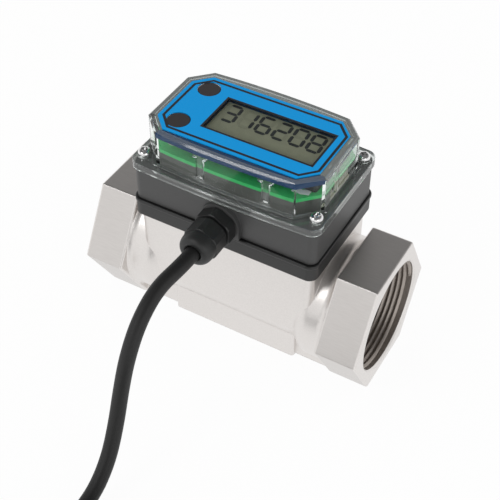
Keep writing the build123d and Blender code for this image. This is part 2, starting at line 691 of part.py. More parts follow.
def body_gasket():
    """Rubber gasket squeezed slightly proud between tray and module."""
    length = BASE_LENGTH + 2 * GASKET_PROUD
    width = BASE_WIDTH + 2 * GASKET_PROUD
    corner = BASE_CORNER + GASKET_PROUD
    blank = rounded_block(length, width, corner, BASE_TOP_Z, GASKET_TOP_Z)
    blank = fillet(blank.edges().filter_by(Plane.XY), GASKET_EDGE_ROUND)
    ring = blank - rounded_block(
        length - 2 * GASKET_WIDTH, width - 2 * GASKET_WIDTH, corner, BASE_TOP_Z, GASKET_TOP_Z
    )
    for x, y in corners(COVER_SCREW_X, COVER_SCREW_Y):
        ring += blank & cylinder_z(x, y, COVER_POST_RADIUS, BASE_TOP_Z, GASKET_TOP_Z)
    for x, y in corners(COVER_SCREW_X, COVER_SCREW_Y):
        ring -= cylinder_z(x, y, COVER_SCREW_RADIUS + SCREW_CLEARANCE, BASE_TOP_Z, GASKET_TOP_Z)
    return ring


def arched_boss():
    """Boss on the module's front, arched over the gland and straight down to the bottom edge."""
    arch = Plane.XZ * Circle(BOSS_RADIUS)
    reach = MODULE_CORNER - BOSS_FACE_Y - MODULE_WIDTH / 2
    boss = Pos(0, BOSS_FACE_Y + reach, GLAND_Z) * extrude(arch, amount=reach)
    legs = block(
        (-BOSS_RADIUS, BOSS_RADIUS), (BOSS_FACE_Y, BOSS_FACE_Y + reach), (GASKET_TOP_Z, GLAND_Z)
    )
    below = block(
        (-2 * BOSS_RADIUS, 2 * BOSS_RADIUS),
        (BOSS_FACE_Y - CLEARANCE_OVER, 0),
        (GASKET_TOP_Z - 2 * BOSS_RADIUS, GASKET_TOP_Z),
    )
    return boss + legs - below


def module_housing():
    """Dark box that holds the electronics, open at the top."""
    shell = rounded_block(MODULE_LENGTH, MODULE_WIDTH, MODULE_CORNER, GASKET_TOP_Z, MODULE_TOP_Z)
    shell += arched_boss()
    shell -= octagon_block(MODULE_CAVITY_INSET, GASKET_TOP_Z + MODULE_FLOOR, MODULE_TOP_Z)
    shell -= octagon_block(MODULE_SEAT_INSET, CARRIER_LOW_Z, MODULE_TOP_Z)
    seal = octagon_block(-SEAL_OUTSET, MODULE_TOP_Z - SEAL_DEPTH, MODULE_TOP_Z)
    shell -= seal - octagon_block(SEAL_WIDTH - SEAL_OUTSET, MODULE_TOP_Z - SEAL_DEPTH, MODULE_TOP_Z)
    for x, y in corners(COVER_SCREW_X, COVER_SCREW_Y):
        shell -= cylinder_z(x, y, COVER_SCREW_RADIUS + SCREW_CLEARANCE, GASKET_TOP_Z, MODULE_TOP_Z)
    shell -= cylinder_z(0, 0, WELL_RADIUS, GASKET_TOP_Z, GASKET_TOP_Z + MODULE_FLOOR)
    tail_hole = Plane.XZ * Circle(GLAND_TAIL_RADIUS + TAPPED_CLEARANCE)
    return shell - Pos(0, 0, GLAND_Z) * extrude(tail_hole, amount=-BOSS_FACE_Y + CLEARANCE_OVER)


def cover_gasket():
    """Thin eight-sided seal in the groove round the module's top."""
    low = MODULE_TOP_Z - SEAL_DEPTH
    return octagon_block(-SEAL_OUTSET, low, MODULE_TOP_Z) - octagon_block(
        SEAL_WIDTH - SEAL_OUTSET, low, MODULE_TOP_Z
    )


def flange_outline():
    """Plan of the cover's flange, with its long sides bowed outwards."""
    x = FLANGE_LENGTH / 2
    y = FLANGE_WIDTH / 2
    outline = [
        Line((x, -y), (x, y)),
        ThreePointArc((x, y), (0, y + FLANGE_BOW), (-x, y)),
        Line((-x, y), (-x, -y)),
        ThreePointArc((-x, -y), (0, -y - FLANGE_BOW), (x, -y)),
    ]
    face = make_face(outline)
    return fillet(face.vertices(), FLANGE_CORNER)


def wall_clips(clearance=0.0):
    """Moulded clips on the inside of the cover's wall that reach down past the board."""
    inner_x = WALL_LENGTH / 2 - WALL_THICKNESS
    low = BOARD_UNDER_Z - CLIP_BELOW_BOARD - clearance
    half = CLIP_WIDTH / 2 + clearance
    head = CLIP_HEAD_WIDTH / 2
    depth = CLIP_DEPTH + clearance
    clips = []
    for x in [WINDOW_X + offset for offset in CLIP_OFFSETS_X]:
        along = (x - WALL_CENTRE_X) / (WALL_LENGTH / 2 - WALL_CUT_X)
        inner_y = WALL_WIDTH / 2 - WALL_THICKNESS + WALL_BOW * (1 - along**2)
        for side in (-1, 1):
            across = sorted((side * (inner_y - depth), side * (inner_y + WALL_THICKNESS / 2)))
            clips.append(block((x - half, x + half), across, (low, DECK_UNDER_Z)))
            head_low = DECK_UNDER_Z - CLIP_HEAD_HEIGHT
            clips.append(block((x - head, x + head), across, (head_low, DECK_UNDER_Z)))
    for side in (-1, 1):
        span = [WALL_CENTRE_X + side * (inner_x - depth)]
        span.append(WALL_CENTRE_X + side * (inner_x + WALL_THICKNESS / 2))
        clips.append(
            block(sorted(span), (CLIP_END_Y - half, CLIP_END_Y + half), (low, DECK_UNDER_Z))
        )
    return clips


def clear_cover():
    """Clear moulded cover: flange, eight-sided wall, deck and raised rim."""
    flange = Pos(0, 0, MODULE_TOP_Z) * extrude(flange_outline(), amount=FLANGE_THICKNESS)
    flange += octagon_block(-PLATEAU_WIDTH, MODULE_TOP_Z, SCREW_SEAT_Z)
    head_room = COVER_SCREW_HEAD_RADIUS + SCREW_CLEARANCE
    for x, y in corners(COVER_SCREW_X, COVER_SCREW_Y):
        flange += cylinder_z(x, y, head_room, MODULE_TOP_Z, SCREW_SEAT_Z)
    wall = octagon_block(0, MODULE_TOP_Z, COVER_TOP_Z)
    wall = chamfer(wall.faces().sort_by(Axis.Z)[-1].edges(), COVER_EDGE_CHAMFER)
    cover = flange + wall
    cover -= octagon_block(WALL_THICKNESS, MODULE_TOP_Z, DECK_UNDER_Z)
    cover -= octagon_block(WALL_THICKNESS, DECK_TOP_Z, COVER_TOP_Z)
    cover += wall_clips()
    for side in (-1, 1):
        hole = BUTTON_RADIUS + BUTTON_FIT
        cover -= cylinder_z(BUTTON_X, side * BUTTON_Y, hole, DECK_UNDER_Z, DECK_TOP_Z)
    for x, y in corners(COVER_SCREW_X, COVER_SCREW_Y):
        cover -= cylinder_z(x, y, COVER_SCREW_RADIUS + SCREW_CLEARANCE, MODULE_TOP_Z, SCREW_SEAT_Z)
    return cover


def cover_screws():
    """Four long screws through cover and module into the tray."""
    length = SCREW_SEAT_Z - BASE_TOP_Z + COVER_SCREW_GRIP
    screw = pan_screw(
        COVER_SCREW_RADIUS, COVER_SCREW_HEAD_RADIUS, COVER_SCREW_HEAD_HEIGHT, length
    )
    places = corners(COVER_SCREW_X, COVER_SCREW_Y)
    return Compound(children=[Pos(x, y, SCREW_SEAT_Z) * screw for x, y in places])


def face_label():
    """Blue label on the deck, with the display window and two button holes."""
    outline = make_face(Polyline(*wall_corners(LABEL_INSET), close=True))
    label = Pos(WALL_CENTRE_X, 0, DECK_TOP_Z) * extrude(outline, amount=LABEL_THICKNESS)
    label -= Pos(WINDOW_X, 0, DECK_TOP_Z + LABEL_THICKNESS / 2) * Box(
        WINDOW_LENGTH, WINDOW_WIDTH, LABEL_THICKNESS
    )
    for side in (-1, 1):
        hole = BUTTON_RADIUS + BUTTON_FIT
        label -= cylinder_z(BUTTON_X, side * BUTTON_Y, hole, DECK_TOP_Z, LABEL_TOP_Z)
    return label


def push_button(side):
    """Round push button with a lip that keeps it under the deck."""
    y = side * BUTTON_Y
    cap = cylinder_z(BUTTON_X, y, BUTTON_RADIUS, BUTTON_LOW_Z, LABEL_TOP_Z - BUTTON_SUNK)
    cap = chamfer(cap.faces().sort_by(Axis.Z)[-1].edges(), BUTTON_EDGE_CHAMFER)
    return cap + cylinder_z(BUTTON_X, y, BUTTON_LIP_RADIUS, BUTTON_LOW_Z, BUTTON_LIP_Z)


def switch_plunger(side):
    """Plunger of the switch under a button; it moves with the button."""
    low = SWITCH_TOP_Z - PLUNGER_DEPTH
    return cylinder_z(BUTTON_X, side * BUTTON_Y, PLUNGER_RADIUS, low, BUTTON_LOW_Z)


def switch_pads():
    """Two pale round switch bodies on the board, bored for their plungers."""
    pads = []
    hole_low = SWITCH_TOP_Z - PLUNGER_DEPTH - BUTTON_TRAVEL - BUTTON_FIT
    for side in (-1, 1):
        pad = cylinder_z(BUTTON_X, side * BUTTON_Y, SWITCH_RADIUS, BOARD_TOP_Z, SWITCH_TOP_Z)
        pad = chamfer(pad.faces().sort_by(Axis.Z)[-1].edges(), BUTTON_EDGE_CHAMFER)
        hole = PLUNGER_RADIUS + BUTTON_FIT
        pads.append(pad - cylinder_z(BUTTON_X, side * BUTTON_Y, hole, hole_low, SWITCH_TOP_Z))
    return Compound(children=pads)


def circuit_board():
    """Green board that fills the cover's wall, notched for the clips and drilled."""
    board = octagon_block(WALL_THICKNESS + BOARD_GAP, BOARD_UNDER_Z, BOARD_TOP_Z)
    board -= wall_clips(CLIP_CLEARANCE)
    for x, y in BOARD_SCREW_PLACES:
        hole = BOARD_SCREW_RADIUS + SCREW_CLEARANCE
        board -= cylinder_z(x, y, hole, BOARD_UNDER_Z, BOARD_TOP_Z)
    return board


def board_screws():
    """Two small screws that hold the board to its carrier."""
    screw = pan_screw(
        BOARD_SCREW_RADIUS, BOARD_SCREW_HEAD_RADIUS, BOARD_SCREW_HEAD_HEIGHT, BOARD_SCREW_GRIP
    )
    return Compound(children=[Pos(x, y, BOARD_TOP_Z) * screw for x, y in BOARD_SCREW_PLACES])


def pin_places():
    """Plan places of the header's pins, in a row by the right wall."""
    x = WALL_CENTRE_X + WALL_LENGTH / 2 - WALL_THICKNESS - BOARD_GAP - PIN_INSET
    start = PIN_ROW_Y - PIN_PITCH * (PIN_COUNT - 1) / 2
    return [(x, start + PIN_PITCH * number) for number in range(PIN_COUNT)]


def pin_header():
    """Row of upright pins in a moulded block, from the carrier up to the board."""
    places = pin_places()
    x = places[0][0]
    ends = (places[0][1] - PIN_PITCH / 2, places[-1][1] + PIN_PITCH / 2)
    header = block(
        (x - PIN_BLOCK_WIDTH / 2, x + PIN_BLOCK_WIDTH / 2),
        ends,
        (CARRIER_FLANGE_Z, CARRIER_FLANGE_Z + PIN_BLOCK_HEIGHT),
    )
    half = PIN_WIDTH / 2
    for x, y in places:
        header += block((x - half, x + half), (y - half, y + half), (CARRIER_FLANGE_Z, BOARD_UNDER_Z))
    return header


def board_carrier():
    """Dark tray under the board, with cell pockets, screw posts and a gap for the pins."""
    inset = WALL_THICKNESS + BOARD_GAP
    tray = octagon_block(MODULE_SEAT_INSET + CARRIER_GAP, CARRIER_LOW_Z, CARRIER_FLANGE_Z)
    tray += octagon_block(inset, CARRIER_LOW_Z, BOARD_UNDER_Z)
    tray -= octagon_block(inset + CARRIER_WALL + PIN_BLOCK_WIDTH, CELL_LOW_Z, BOARD_UNDER_Z)
    tray -= octagon_block(inset + CARRIER_WALL, CARRIER_FLANGE_Z, BOARD_UNDER_Z)
    for side in (-1, 1):
        x = side * CELL_X
        rib_top = CELL_LOW_Z + CELL_RIB_HEIGHT
        ring = cylinder_z(x, 0, CELL_RADIUS + CELL_FIT + CELL_RIB, CELL_LOW_Z, rib_top)
        tray += ring - cylinder_z(x, 0, CELL_RADIUS + CELL_FIT, CELL_LOW_Z, rib_top)
    for x, y in BOARD_SCREW_PLACES:
        tray += cylinder_z(x, y, BOARD_POST_RADIUS, CARRIER_LOW_Z, BOARD_UNDER_Z)
        hole_low = BOARD_TOP_Z - BOARD_SCREW_GRIP - TAPPED_CLEARANCE
        tray -= cylinder_z(x, y, BOARD_SCREW_RADIUS + TAPPED_CLEARANCE, hole_low, BOARD_UNDER_Z)
    tray -= wall_clips(CLIP_CLEARANCE)
    for side in (-1, 1):
        lead_hole = LEAD_RADIUS + CLIP_CLEARANCE
        tray -= cylinder_z(0, side * LEAD_SPREAD, lead_hole, CARRIER_LOW_Z, BOARD_UNDER_Z)
    wire_room = INNER_WIRE_SPACING + INNER_WIRE_RADIUS + CLIP_CLEARANCE
    wire_y = CABLE_ENTRY_Y + INNER_WIRE_RUN
    tray -= block(
        (-wire_room, wire_room),
        (wire_y - INNER_WIRE_RADIUS - CLIP_CLEARANCE, wire_y + INNER_WIRE_RADIUS + CLIP_CLEARANCE),
        (CARRIER_LOW_Z, BOARD_UNDER_Z),
    )
    pins = pin_places()
    tray -= block(
        (pins[0][0] - PIN_BLOCK_WIDTH / 2 - CLIP_CLEARANCE, pins[0][0] + 2 * PIN_BLOCK_WIDTH),
        (pins[0][1] - PIN_PITCH, pins[-1][1] + PIN_PITCH),
        (CARRIER_FLANGE_Z, BOARD_UNDER_Z),
    )
    return tray


def coin_cells():
    """Two coin cells with their stepped rims, side by side under the board."""
    cells = []
    for side in (-1, 1):
        can = cylinder_z(side * CELL_X, 0, CELL_RADIUS, CELL_LOW_Z, CELL_LOW_Z + CELL_THICKNESS)
        cells.append(chamfer(can.edges(), CELL_FIT))
    return Compound(children=cells)


def cell_contacts():
    """Bent strips between each cell and the underside of the board."""
    strips = []
    top = CELL_LOW_Z + CELL_THICKNESS
    half = CONTACT_WIDTH / 2
    for side in (-1, 1):
        x = side * CELL_X
        low, high = x - CONTACT_LENGTH / 2, x + CONTACT_LENGTH / 2
        strip = block((low, high), (-half, half), (top, top + CONTACT_THICKNESS))
        strip += block((low, low + CONTACT_THICKNESS), (-half, half), (top, CELL_TOP_Z))
        strip += block((low, x), (-half, half), (CELL_TOP_Z, BOARD_UNDER_Z))
        strips.append(strip)
    return Compound(children=strips)


def lcd_frame():
    """Frame that stands on the board and holds the display glass."""
    frame = rounded_block(FRAME_LENGTH, FRAME_WIDTH, FRAME_WALL, BOARD_TOP_Z, GLASS_TOP_Z)
    frame -= block(
        (-GLASS_LENGTH / 2 - FRAME_FIT, GLASS_LENGTH / 2 + FRAME_FIT),
        (-GLASS_WIDTH / 2 - FRAME_FIT, GLASS_WIDTH / 2 + FRAME_FIT),
        (GLASS_LOW_Z, GLASS_TOP_Z),
    )
    frame -= block(
        (-GLASS_LENGTH / 2 + FRAME_LEDGE, GLASS_LENGTH / 2 - FRAME_LEDGE),
        (-GLASS_WIDTH / 2 + FRAME_LEDGE / 2, GLASS_WIDTH / 2 - FRAME_LEDGE / 2),
        (BOARD_TOP_Z, GLASS_LOW_Z),
    )
    return Pos(WINDOW_X, 0, 0) * frame


def lcd_connectors():
    """Two rubber strips that join the glass to the board."""
    half = GLASS_LENGTH / 2 - FRAME_LEDGE - FRAME_FIT
    strips = []
    for side in (-1, 1):
        y = side * STRIP_Y
        strips.append(
            block(
                (WINDOW_X - half, WINDOW_X + half),
                (y - STRIP_WIDTH / 2, y + STRIP_WIDTH / 2),
                (BOARD_TOP_Z, GLASS_LOW_Z),
            )
        )
    return Compound(children=strips)


def lcd_glass():
    """Display glass close under the deck's window."""
    return Pos(WINDOW_X, 0, (GLASS_LOW_Z + GLASS_TOP_Z) / 2) * Box(
        GLASS_LENGTH, GLASS_WIDTH, GLASS_THICKNESS
    )


def gland_hexagon(across, corner, low, high):
    """Hexagonal length of the gland with its corners turned off."""
    sketch = Plane.XZ * RegularPolygon(across / 2, 6, major_radius=False, rotation=30)
    prism = Pos(0, -low, GLAND_Z) * extrude(sketch, amount=high - low)
    edge = (corner - across / 2) / 2
    turned = turned_gland(
        [
            (low, 0),
            (low, corner - edge),
            (low + edge, corner),
            (high - edge, corner),
            (high, corner - edge),
            (high, 0),
        ]
    )
    return prism & turned


def gland_body():
    """Body of the cable gland: threaded tail, hexagon and slotted clamping barrel."""
    face = -BOSS_FACE_Y
    hex_end = face + GLAND_FLANGE
    barrel_end = hex_end + GLAND_BARREL_LENGTH
    body = gland_hexagon(GLAND_HEX, GLAND_HEX_CORNER, face, hex_end)
    body += turned_gland(
        [
            (face - GLAND_TAIL_LENGTH, 0),
            (face - GLAND_TAIL_LENGTH, GLAND_TAIL_RADIUS),
            (hex_end - CLEARANCE_OVER, GLAND_TAIL_RADIUS),
            (hex_end - CLEARANCE_OVER, GLAND_BARREL_RADIUS),
            (barrel_end - GLAND_FINGER_LENGTH, GLAND_BARREL_RADIUS),
            (barrel_end, GLAND_BARREL_RADIUS - GLAND_FINGER_SLOT / 2),
            (barrel_end, 0),
        ]
    )
    over = barrel_end + CLEARANCE_OVER
    seat = GLAND_SEAL_RADIUS + PRESS_FIT
    body -= turned_gland([(0, 0), (0, GLAND_THROAT_RADIUS), (over, GLAND_THROAT_RADIUS), (over, 0)])
    body -= turned_gland([(hex_end, 0), (hex_end, seat), (over, seat), (over, 0)])
    slot = Box(
        GLAND_FINGER_SLOT, 2 * GLAND_FINGER_LENGTH, 2 * (GLAND_BARREL_RADIUS - GLAND_THROAT_RADIUS)
    )
    for number in range(GLAND_FINGER_COUNT):
        turn = Rot(0, 360 * number / GLAND_FINGER_COUNT, 0)
        body -= Pos(0, -barrel_end, GLAND_Z) * turn * Pos(0, 0, GLAND_BARREL_RADIUS) * slot
    groove = ORING_SECTION + SEAL_SQUEEZE_GAP
    return body - turned_gland(
        [
            (face, ORING_RADIUS - groove),
            (face, ORING_RADIUS + groove),
            (face + 2 * ORING_SECTION, ORING_RADIUS + groove),
            (face + 2 * ORING_SECTION, ORING_RADIUS - groove),
        ]
    )


def gland_oring():
    """Rubber ring in the groove of the gland's face."""
    ring = Torus(ORING_RADIUS, ORING_SECTION)
    return Pos(0, BOSS_FACE_Y - ORING_SECTION, GLAND_Z) * Rot(90, 0, 0) * ring


def gland_seal():
    """Rubber bush that grips the cable inside the barrel."""
    low = -BOSS_FACE_Y + GLAND_FLANGE
    high = low + GLAND_BARREL_LENGTH
    inner = CABLE_RADIUS + SEAL_SQUEEZE_GAP
    return turned_gland([(low, inner), (low, GLAND_SEAL_RADIUS), (high, GLAND_SEAL_RADIUS), (high, inner)])


def gland_nut():
    """Domed nut that squeezes the seal on the cable."""
    start = -BOSS_FACE_Y + GLAND_FLANGE + NUT_GAP
    hex_end = start + NUT_HEX_LENGTH
    neck_end = hex_end + NUT_NECK_LENGTH
    tip_end = neck_end + NUT_DOME_LENGTH
    neck_radius = NUT_HEX / 2 - PRESS_FIT
    outline = [
        Line((0, -start, 0), (0, -tip_end, 0)),
        Line((0, -tip_end, 0), (0, -tip_end, NUT_TIP_RADIUS)),
        Spline(
            (0, -tip_end, NUT_TIP_RADIUS),
            (0, -neck_end, neck_radius),
            tangents=[(0, 0, 1), (0, 1, 0)],
        ),
        Line((0, -neck_end, neck_radius), (0, -start, neck_radius)),
        Line((0, -start, neck_radius), (0, -start, 0)),
    ]
    dome = Pos(0, 0, GLAND_Z) * revolve(make_face(outline), axis=Axis.Y)
    nut = dome + gland_hexagon(NUT_HEX, NUT_HEX_CORNER, start, hex_end)
    cavity = GLAND_BARREL_RADIUS + NUT_FIT
    barrel_end = start - NUT_GAP + GLAND_BARREL_LENGTH + NUT_FIT
    mouth = CABLE_RADIUS + SCREW_CLEARANCE
    return nut - turned_gland(
        [
            (start - CLEARANCE_OVER, 0),
            (start - CLEARANCE_OVER, cavity),
            (barrel_end, cavity),
            (barrel_end, mouth),
            (tip_end - NUT_MOUTH_FLARE, mouth),
            (tip_end, mouth + NUT_MOUTH_FLARE),
            (tip_end + CLEARANCE_OVER, mouth + NUT_MOUTH_FLARE),
            (tip_end + CLEARANCE_OVER, 0),
        ]
    )


def route_radii(points):
    """Largest arc that each corner of a route has room for."""
    radii = []
    for before, corner, after in zip(points, points[1:], points[2:]):
        run_in = Vector(*corner) - Vector(*before)
        run_out = Vector(*after) - Vector(*corner)
        turn = radians(run_in.get_angle(run_out))
        radii.append(ARC_SHARE * min(run_in.length, run_out.length) / tan(turn / 2))
    return radii


def tube(points, radii, radius):
    """Round tube along straight runs joined by arcs."""
    path = FilletPolyline(*points, radius=radii)
    start = Plane(origin=path @ 0, z_dir=path % 0)
    return sweep(start * Circle(radius), path=path), path


def signal_cable():
    """Cable from inside the gland down to the floor and along to its coil."""
    radii = route_radii(CABLE_ROUTE)
    print("cable radii:", [round(radius, 1) for radius in radii])
    solid, path = tube(CABLE_ROUTE, radii, CABLE_RADIUS)
    print("cable volume ratio:", round(solid.volume / (pi * CABLE_RADIUS**2 * path.length), 4))
    print("cable run length:", round(path.length, 1))
    return solid


def cable_coil():
    """Outer shape of the neat coil that holds the rest of the cable."""
    x, y = COIL_CENTRE
    half = COIL_RANKS * CABLE_RADIUS
    height = COIL_LAYERS * 2 * CABLE_RADIUS
    ring = cylinder_z(x, y, COIL_MEAN_RADIUS + half, 0, height)
    ring -= cylinder_z(x, y, COIL_MEAN_RADIUS - half, 0, height)
    return fillet(ring.edges().filter_by(GeomType.CIRCLE), COIL_EDGE_ROUND)


def cable_entry():
    """The cable's straight stretch inside the gland and the housing wall."""
    bar = Plane.XZ * Circle(CABLE_RADIUS)
    start_y = CABLE_ROUTE[0][1]
    return Pos(0, CABLE_ENTRY_Y, GLAND_Z) * extrude(bar, amount=CABLE_ENTRY_Y - start_y)


def end_frame():
    """Place on top of the coil where the cable's free end starts, looking along it."""
    height = (2 * COIL_LAYERS + 1) * CABLE_RADIUS
    x = COIL_CENTRE[0] + COIL_MEAN_RADIUS * cos(radians(END_ANGLE))
    y = COIL_CENTRE[1] + COIL_MEAN_RADIUS * sin(radians(END_ANGLE))
    return Pos(x, y, height) * Rot(0, 0, END_ANGLE + 90 + END_TURN_IN)


def cable_end():
    """The cable's free end, lying on top of the coil."""
    return end_frame() * extrude(Plane.YZ * Circle(CABLE_RADIUS), amount=END_LENGTH)


def cable_leads():
    """Conductors that fan out of the cable's free end and rest on the coil."""
    wires = []
    for number in range(WIRE_COUNT):
        place = number - (WIRE_COUNT - 1) / 2
        wire = extrude(Plane.YZ * Circle(WIRE_RADIUS), amount=WIRE_LENGTH)
        aim = Rot(0, 0, WIRE_FAN * place) * Rot(0, WIRE_DROP, 0)
        start = Pos(END_LENGTH, WIRE_PITCH * place, 0)
        wires.append(end_frame() * start * aim * wire)
    return Compound(children=wires)


def inner_leads():
    """Conductors from the cable's inner end up to the underside of the board."""
    leads = []
    for number in range(WIRE_COUNT):
        x = INNER_WIRE_SPACING * (number - 1)
        corner_y = CABLE_ENTRY_Y + INNER_WIRE_RUN
        points = [(x, CABLE_ENTRY_Y, GLAND_Z), (x, corner_y, GLAND_Z), (x, corner_y, BOARD_UNDER_Z)]
        leads.append(tube(points, [INNER_WIRE_BEND], INNER_WIRE_RADIUS)[0])
    return Compound(children=leads)


PARTS = {
    "meter_body": meter_body,
    "outlet_support": flow_support,
    "inlet_support": lambda: mirror(flow_support(), Plane.YZ),
    "rotor": rotor,
    "rotor_bearings": rotor_bearings,
    "rotor_shaft": rotor_shaft,
    "thrust_washers": thrust_washers,
    "retaining_rings": retaining_rings,
    "pickup_bobbin": pickup_bobbin,
    "pickup_winding": pickup_winding,
    "pickup_magnet": pickup_magnet,
    "pickup_leads": pickup_leads,
    "base_plate": base_plate,
    "base_screws": base_screws,
    "body_gasket": body_gasket,
    "module_housing": module_housing,
    "cover_gasket": cover_gasket,
    "clear_cover": clear_cover,
    "cover_screws": cover_screws,
    "face_label": face_label,
    "rate_button": lambda: push_button(1),
    "total_button": lambda: push_button(-1),
    "rate_plunger": lambda: switch_plunger(1),
    "total_plunger": lambda: switch_plunger(-1),
    "switch_pads": switch_pads,
    "circuit_board": circuit_board,
    "board_screws": board_screws,
    "pin_header": pin_header,
    "board_carrier": board_carrier,
    "coin_cells": coin_cells,
    "cell_contacts": cell_contacts,
    "lcd_frame": lcd_frame,
    "lcd_connectors": lcd_connectors,
    "lcd_glass": lcd_glass,
    "gland_body": gland_body,
    "gland_oring": gland_oring,
    "gland_seal": gland_seal,
    "gland_nut": gland_nut,
    "cable_entry": cable_entry,
    "signal_cable": signal_cable,
    "cable_coil": cable_coil,
    "cable_end": cable_end,
    "cable_leads": cable_leads,
    "inner_leads": inner_leads,
}

os.makedirs("parts", exist_ok=True)
for name, make in PARTS.items():
    export_step(make(), f"parts/{name}.step")
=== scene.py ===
import math

import bmesh
import bpy
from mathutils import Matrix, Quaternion, Vector


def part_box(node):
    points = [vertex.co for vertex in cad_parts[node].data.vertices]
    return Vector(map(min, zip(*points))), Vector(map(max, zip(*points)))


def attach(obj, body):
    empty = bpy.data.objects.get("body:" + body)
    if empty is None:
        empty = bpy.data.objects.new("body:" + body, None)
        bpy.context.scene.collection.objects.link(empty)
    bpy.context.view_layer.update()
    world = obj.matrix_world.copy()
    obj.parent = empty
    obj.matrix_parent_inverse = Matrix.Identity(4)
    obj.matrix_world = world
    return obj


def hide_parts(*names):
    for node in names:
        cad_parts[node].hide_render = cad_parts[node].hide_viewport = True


# Sizes and places are in millimetres, angles in degrees
MM = 0.001

# Camera at the photograph's viewing angle
CAMERA_PLACE = (161.99, -286.5, 360.09)
CAMERA_TARGET = (-1.63, 0.0, 34.22)
CAMERA_ROLL = 0.193
CAMERA_LENS = 77.99
CAMERA_SENSOR = 36.0
CAMERA_CLIP = (0.01, 20)

# Soft lamps: place and size in metres, then watts
LAMPS = {
    "key_lamp": ((-0.38, -0.76, 0.77), 0.36, 2.0),
    "fill_lamp": ((0.8, -0.5, 0.45), 0.35, 0.8),
}
LAMP_TARGET = (0, 0, 0.04)

# Linear white
WHITE = (1, 1, 1, 1)

# Backdrop: white up to one height of the view, grey from another, as the sine of the angle up
WHITE_UP_TO = 0.3
GREY_FROM = 0.62
CEILING_GREY = 0.17
AMBIENT_STRENGTH = 0.75

# Floor, in metres, and the share of the backdrop's white that it shows
FLOOR_HALF = 3.0
FLOOR_DROP = 0.0001
FLOOR_WHITE = 0.95

# Cable route and coil
CABLE_DIAMETER = 6.3
CABLE_START = (0.0, -21.0, 73.0)
CABLE_ROUTE = [
    (0.0, -40.5, 73.0),
    (0.0, -53.5, 73.0),
    (-3.4, -65.7, 69.9),
    (-3.9, -78.2, 62.7),
    (-4.0, -87.0, 51.2),
    (-4.7, -91.6, 37.7),
    (-3.1, -99.0, 25.6),
    (-1.1, -108.7, 15.3),
    (-0.7, -120.5, 7.6),
    (-2.6, -134.5, 4.5),
    (-3.6, -148.9, 3.15),
]
COIL_CENTRE = (37.3, -165.3)
COIL_START_ANGLE = 180
COIL_POINTS_PER_TURN = 24
OUTER_TURN = 40.9
MIDDLE_TURN = OUTER_TURN - CABLE_DIAMETER
INNER_TURN = MIDDLE_TURN - CABLE_DIAMETER
LOW_LAYER = CABLE_DIAMETER / 2
MID_LAYER = LOW_LAYER + CABLE_DIAMETER
TOP_LAYER = MID_LAYER + CABLE_DIAMETER
LOOSE_LAYER = TOP_LAYER + CABLE_DIAMETER
END_TURN_IN = 45
END_LENGTH = 20.0
CABLE_SMOOTHNESS = 6
TURN_SLACK = 1e-6

# Where along the coil, in turns, the cable changes its radius or its layer
COIL_STATIONS = [
    (0.0, OUTER_TURN, LOW_LAYER),
    (5 / 6, OUTER_TURN, LOW_LAYER),
    (1.0, MIDDLE_TURN, LOW_LAYER),
    (1 + 5 / 6, MIDDLE_TURN, LOW_LAYER),
    (2.0, INNER_TURN, LOW_LAYER),
    (2 + 2 / 3, INNER_TURN, LOW_LAYER),
    (2 + 5 / 6, INNER_TURN, MID_LAYER),
    (3.5, INNER_TURN, MID_LAYER),
    (3 + 2 / 3, MIDDLE_TURN, MID_LAYER),
    (4.5, MIDDLE_TURN, MID_LAYER),
    (4 + 2 / 3, OUTER_TURN, MID_LAYER),
    (5 + 1 / 3, OUTER_TURN, MID_LAYER),
    (5.5, OUTER_TURN, TOP_LAYER),
    (6 + 1 / 6, OUTER_TURN, TOP_LAYER),
    (6 + 1 / 3, MIDDLE_TURN, TOP_LAYER),
    (7 + 1 / 6, MIDDLE_TURN, TOP_LAYER),
    (7 + 1 / 3, INNER_TURN, TOP_LAYER),
    (8.0, INNER_TURN, TOP_LAYER),
    (8 + 1 / 6, MIDDLE_TURN, LOOSE_LAYER),
]

# Port thread; its foot and its flat tip are shares of the pitch
THREAD_PITCH = 2.209
THREAD_CREST = 23.0
THREAD_ROOT = 24.0
THREAD_BEYOND_ROOT = 0.1
THREAD_FOOT = 0.06
THREAD_TIP = 0.08
THREAD_STEPS = 72
THREAD_MOUTH_INSET = 1.2
THREAD_DEPTH = 23.8

# Length of the hexagon at each port, how far a face of the flow passage may stand off the
# thread's root, and how far a flat's normal may lean along the flow
HEX_LENGTH = 18.2
BORE_SLACK = 0.2
FLAT_LEAN = 0.05

# Face label and its printed lines
LINE_HEIGHT = 0.04
BORDER_HALF = (34.4, 17.7)
BORDER_CUT = (5.7, 6.0)
BORDER_WIDTH = 1.1
WINDOW_LOW = (-17.1, -9.9)
WINDOW_HIGH = (30.1, 9.9)
WINDOW_LINE = 0.8
WINDOW_LINE_REACH = 0.05

# Outline of the cover's wall; its front side starts after the back side and three corners
LABEL_INSET = 3.4
WALL_CENTRE_X = -0.5
WALL_CUT = (8.4, 8.6)
WALL_BOW = 1.2
WALL_THICKNESS = 2.3
WALL_STEPS = 12
FRONT_START = WALL_STEPS + 4

# Band of painted reflection of the label's blue in the front wall, and the margin of the deck round
# the label
BAND_INSET = 0.7
BAND_THICKNESS = 0.3
BAND_TOP = 0.1
BAND_HEIGHT = 2.3
MARGIN_HEIGHT = 0.05
MARGIN_DEPTH = 0.1

# Faces of the cover: its flange, the front of its rim and the clips inside its long walls
FLANGE_TOP = 87.1
RIM_SLACK = 0.05
FRONT_RIM_END = -14.0
CLIP_PLACES = (-11.1, 17.3)
CLIP_REACH = 3.1
CLIP_BELOW_RIM = 1.0
CLIP_LEAST_DEPTH = 0.1

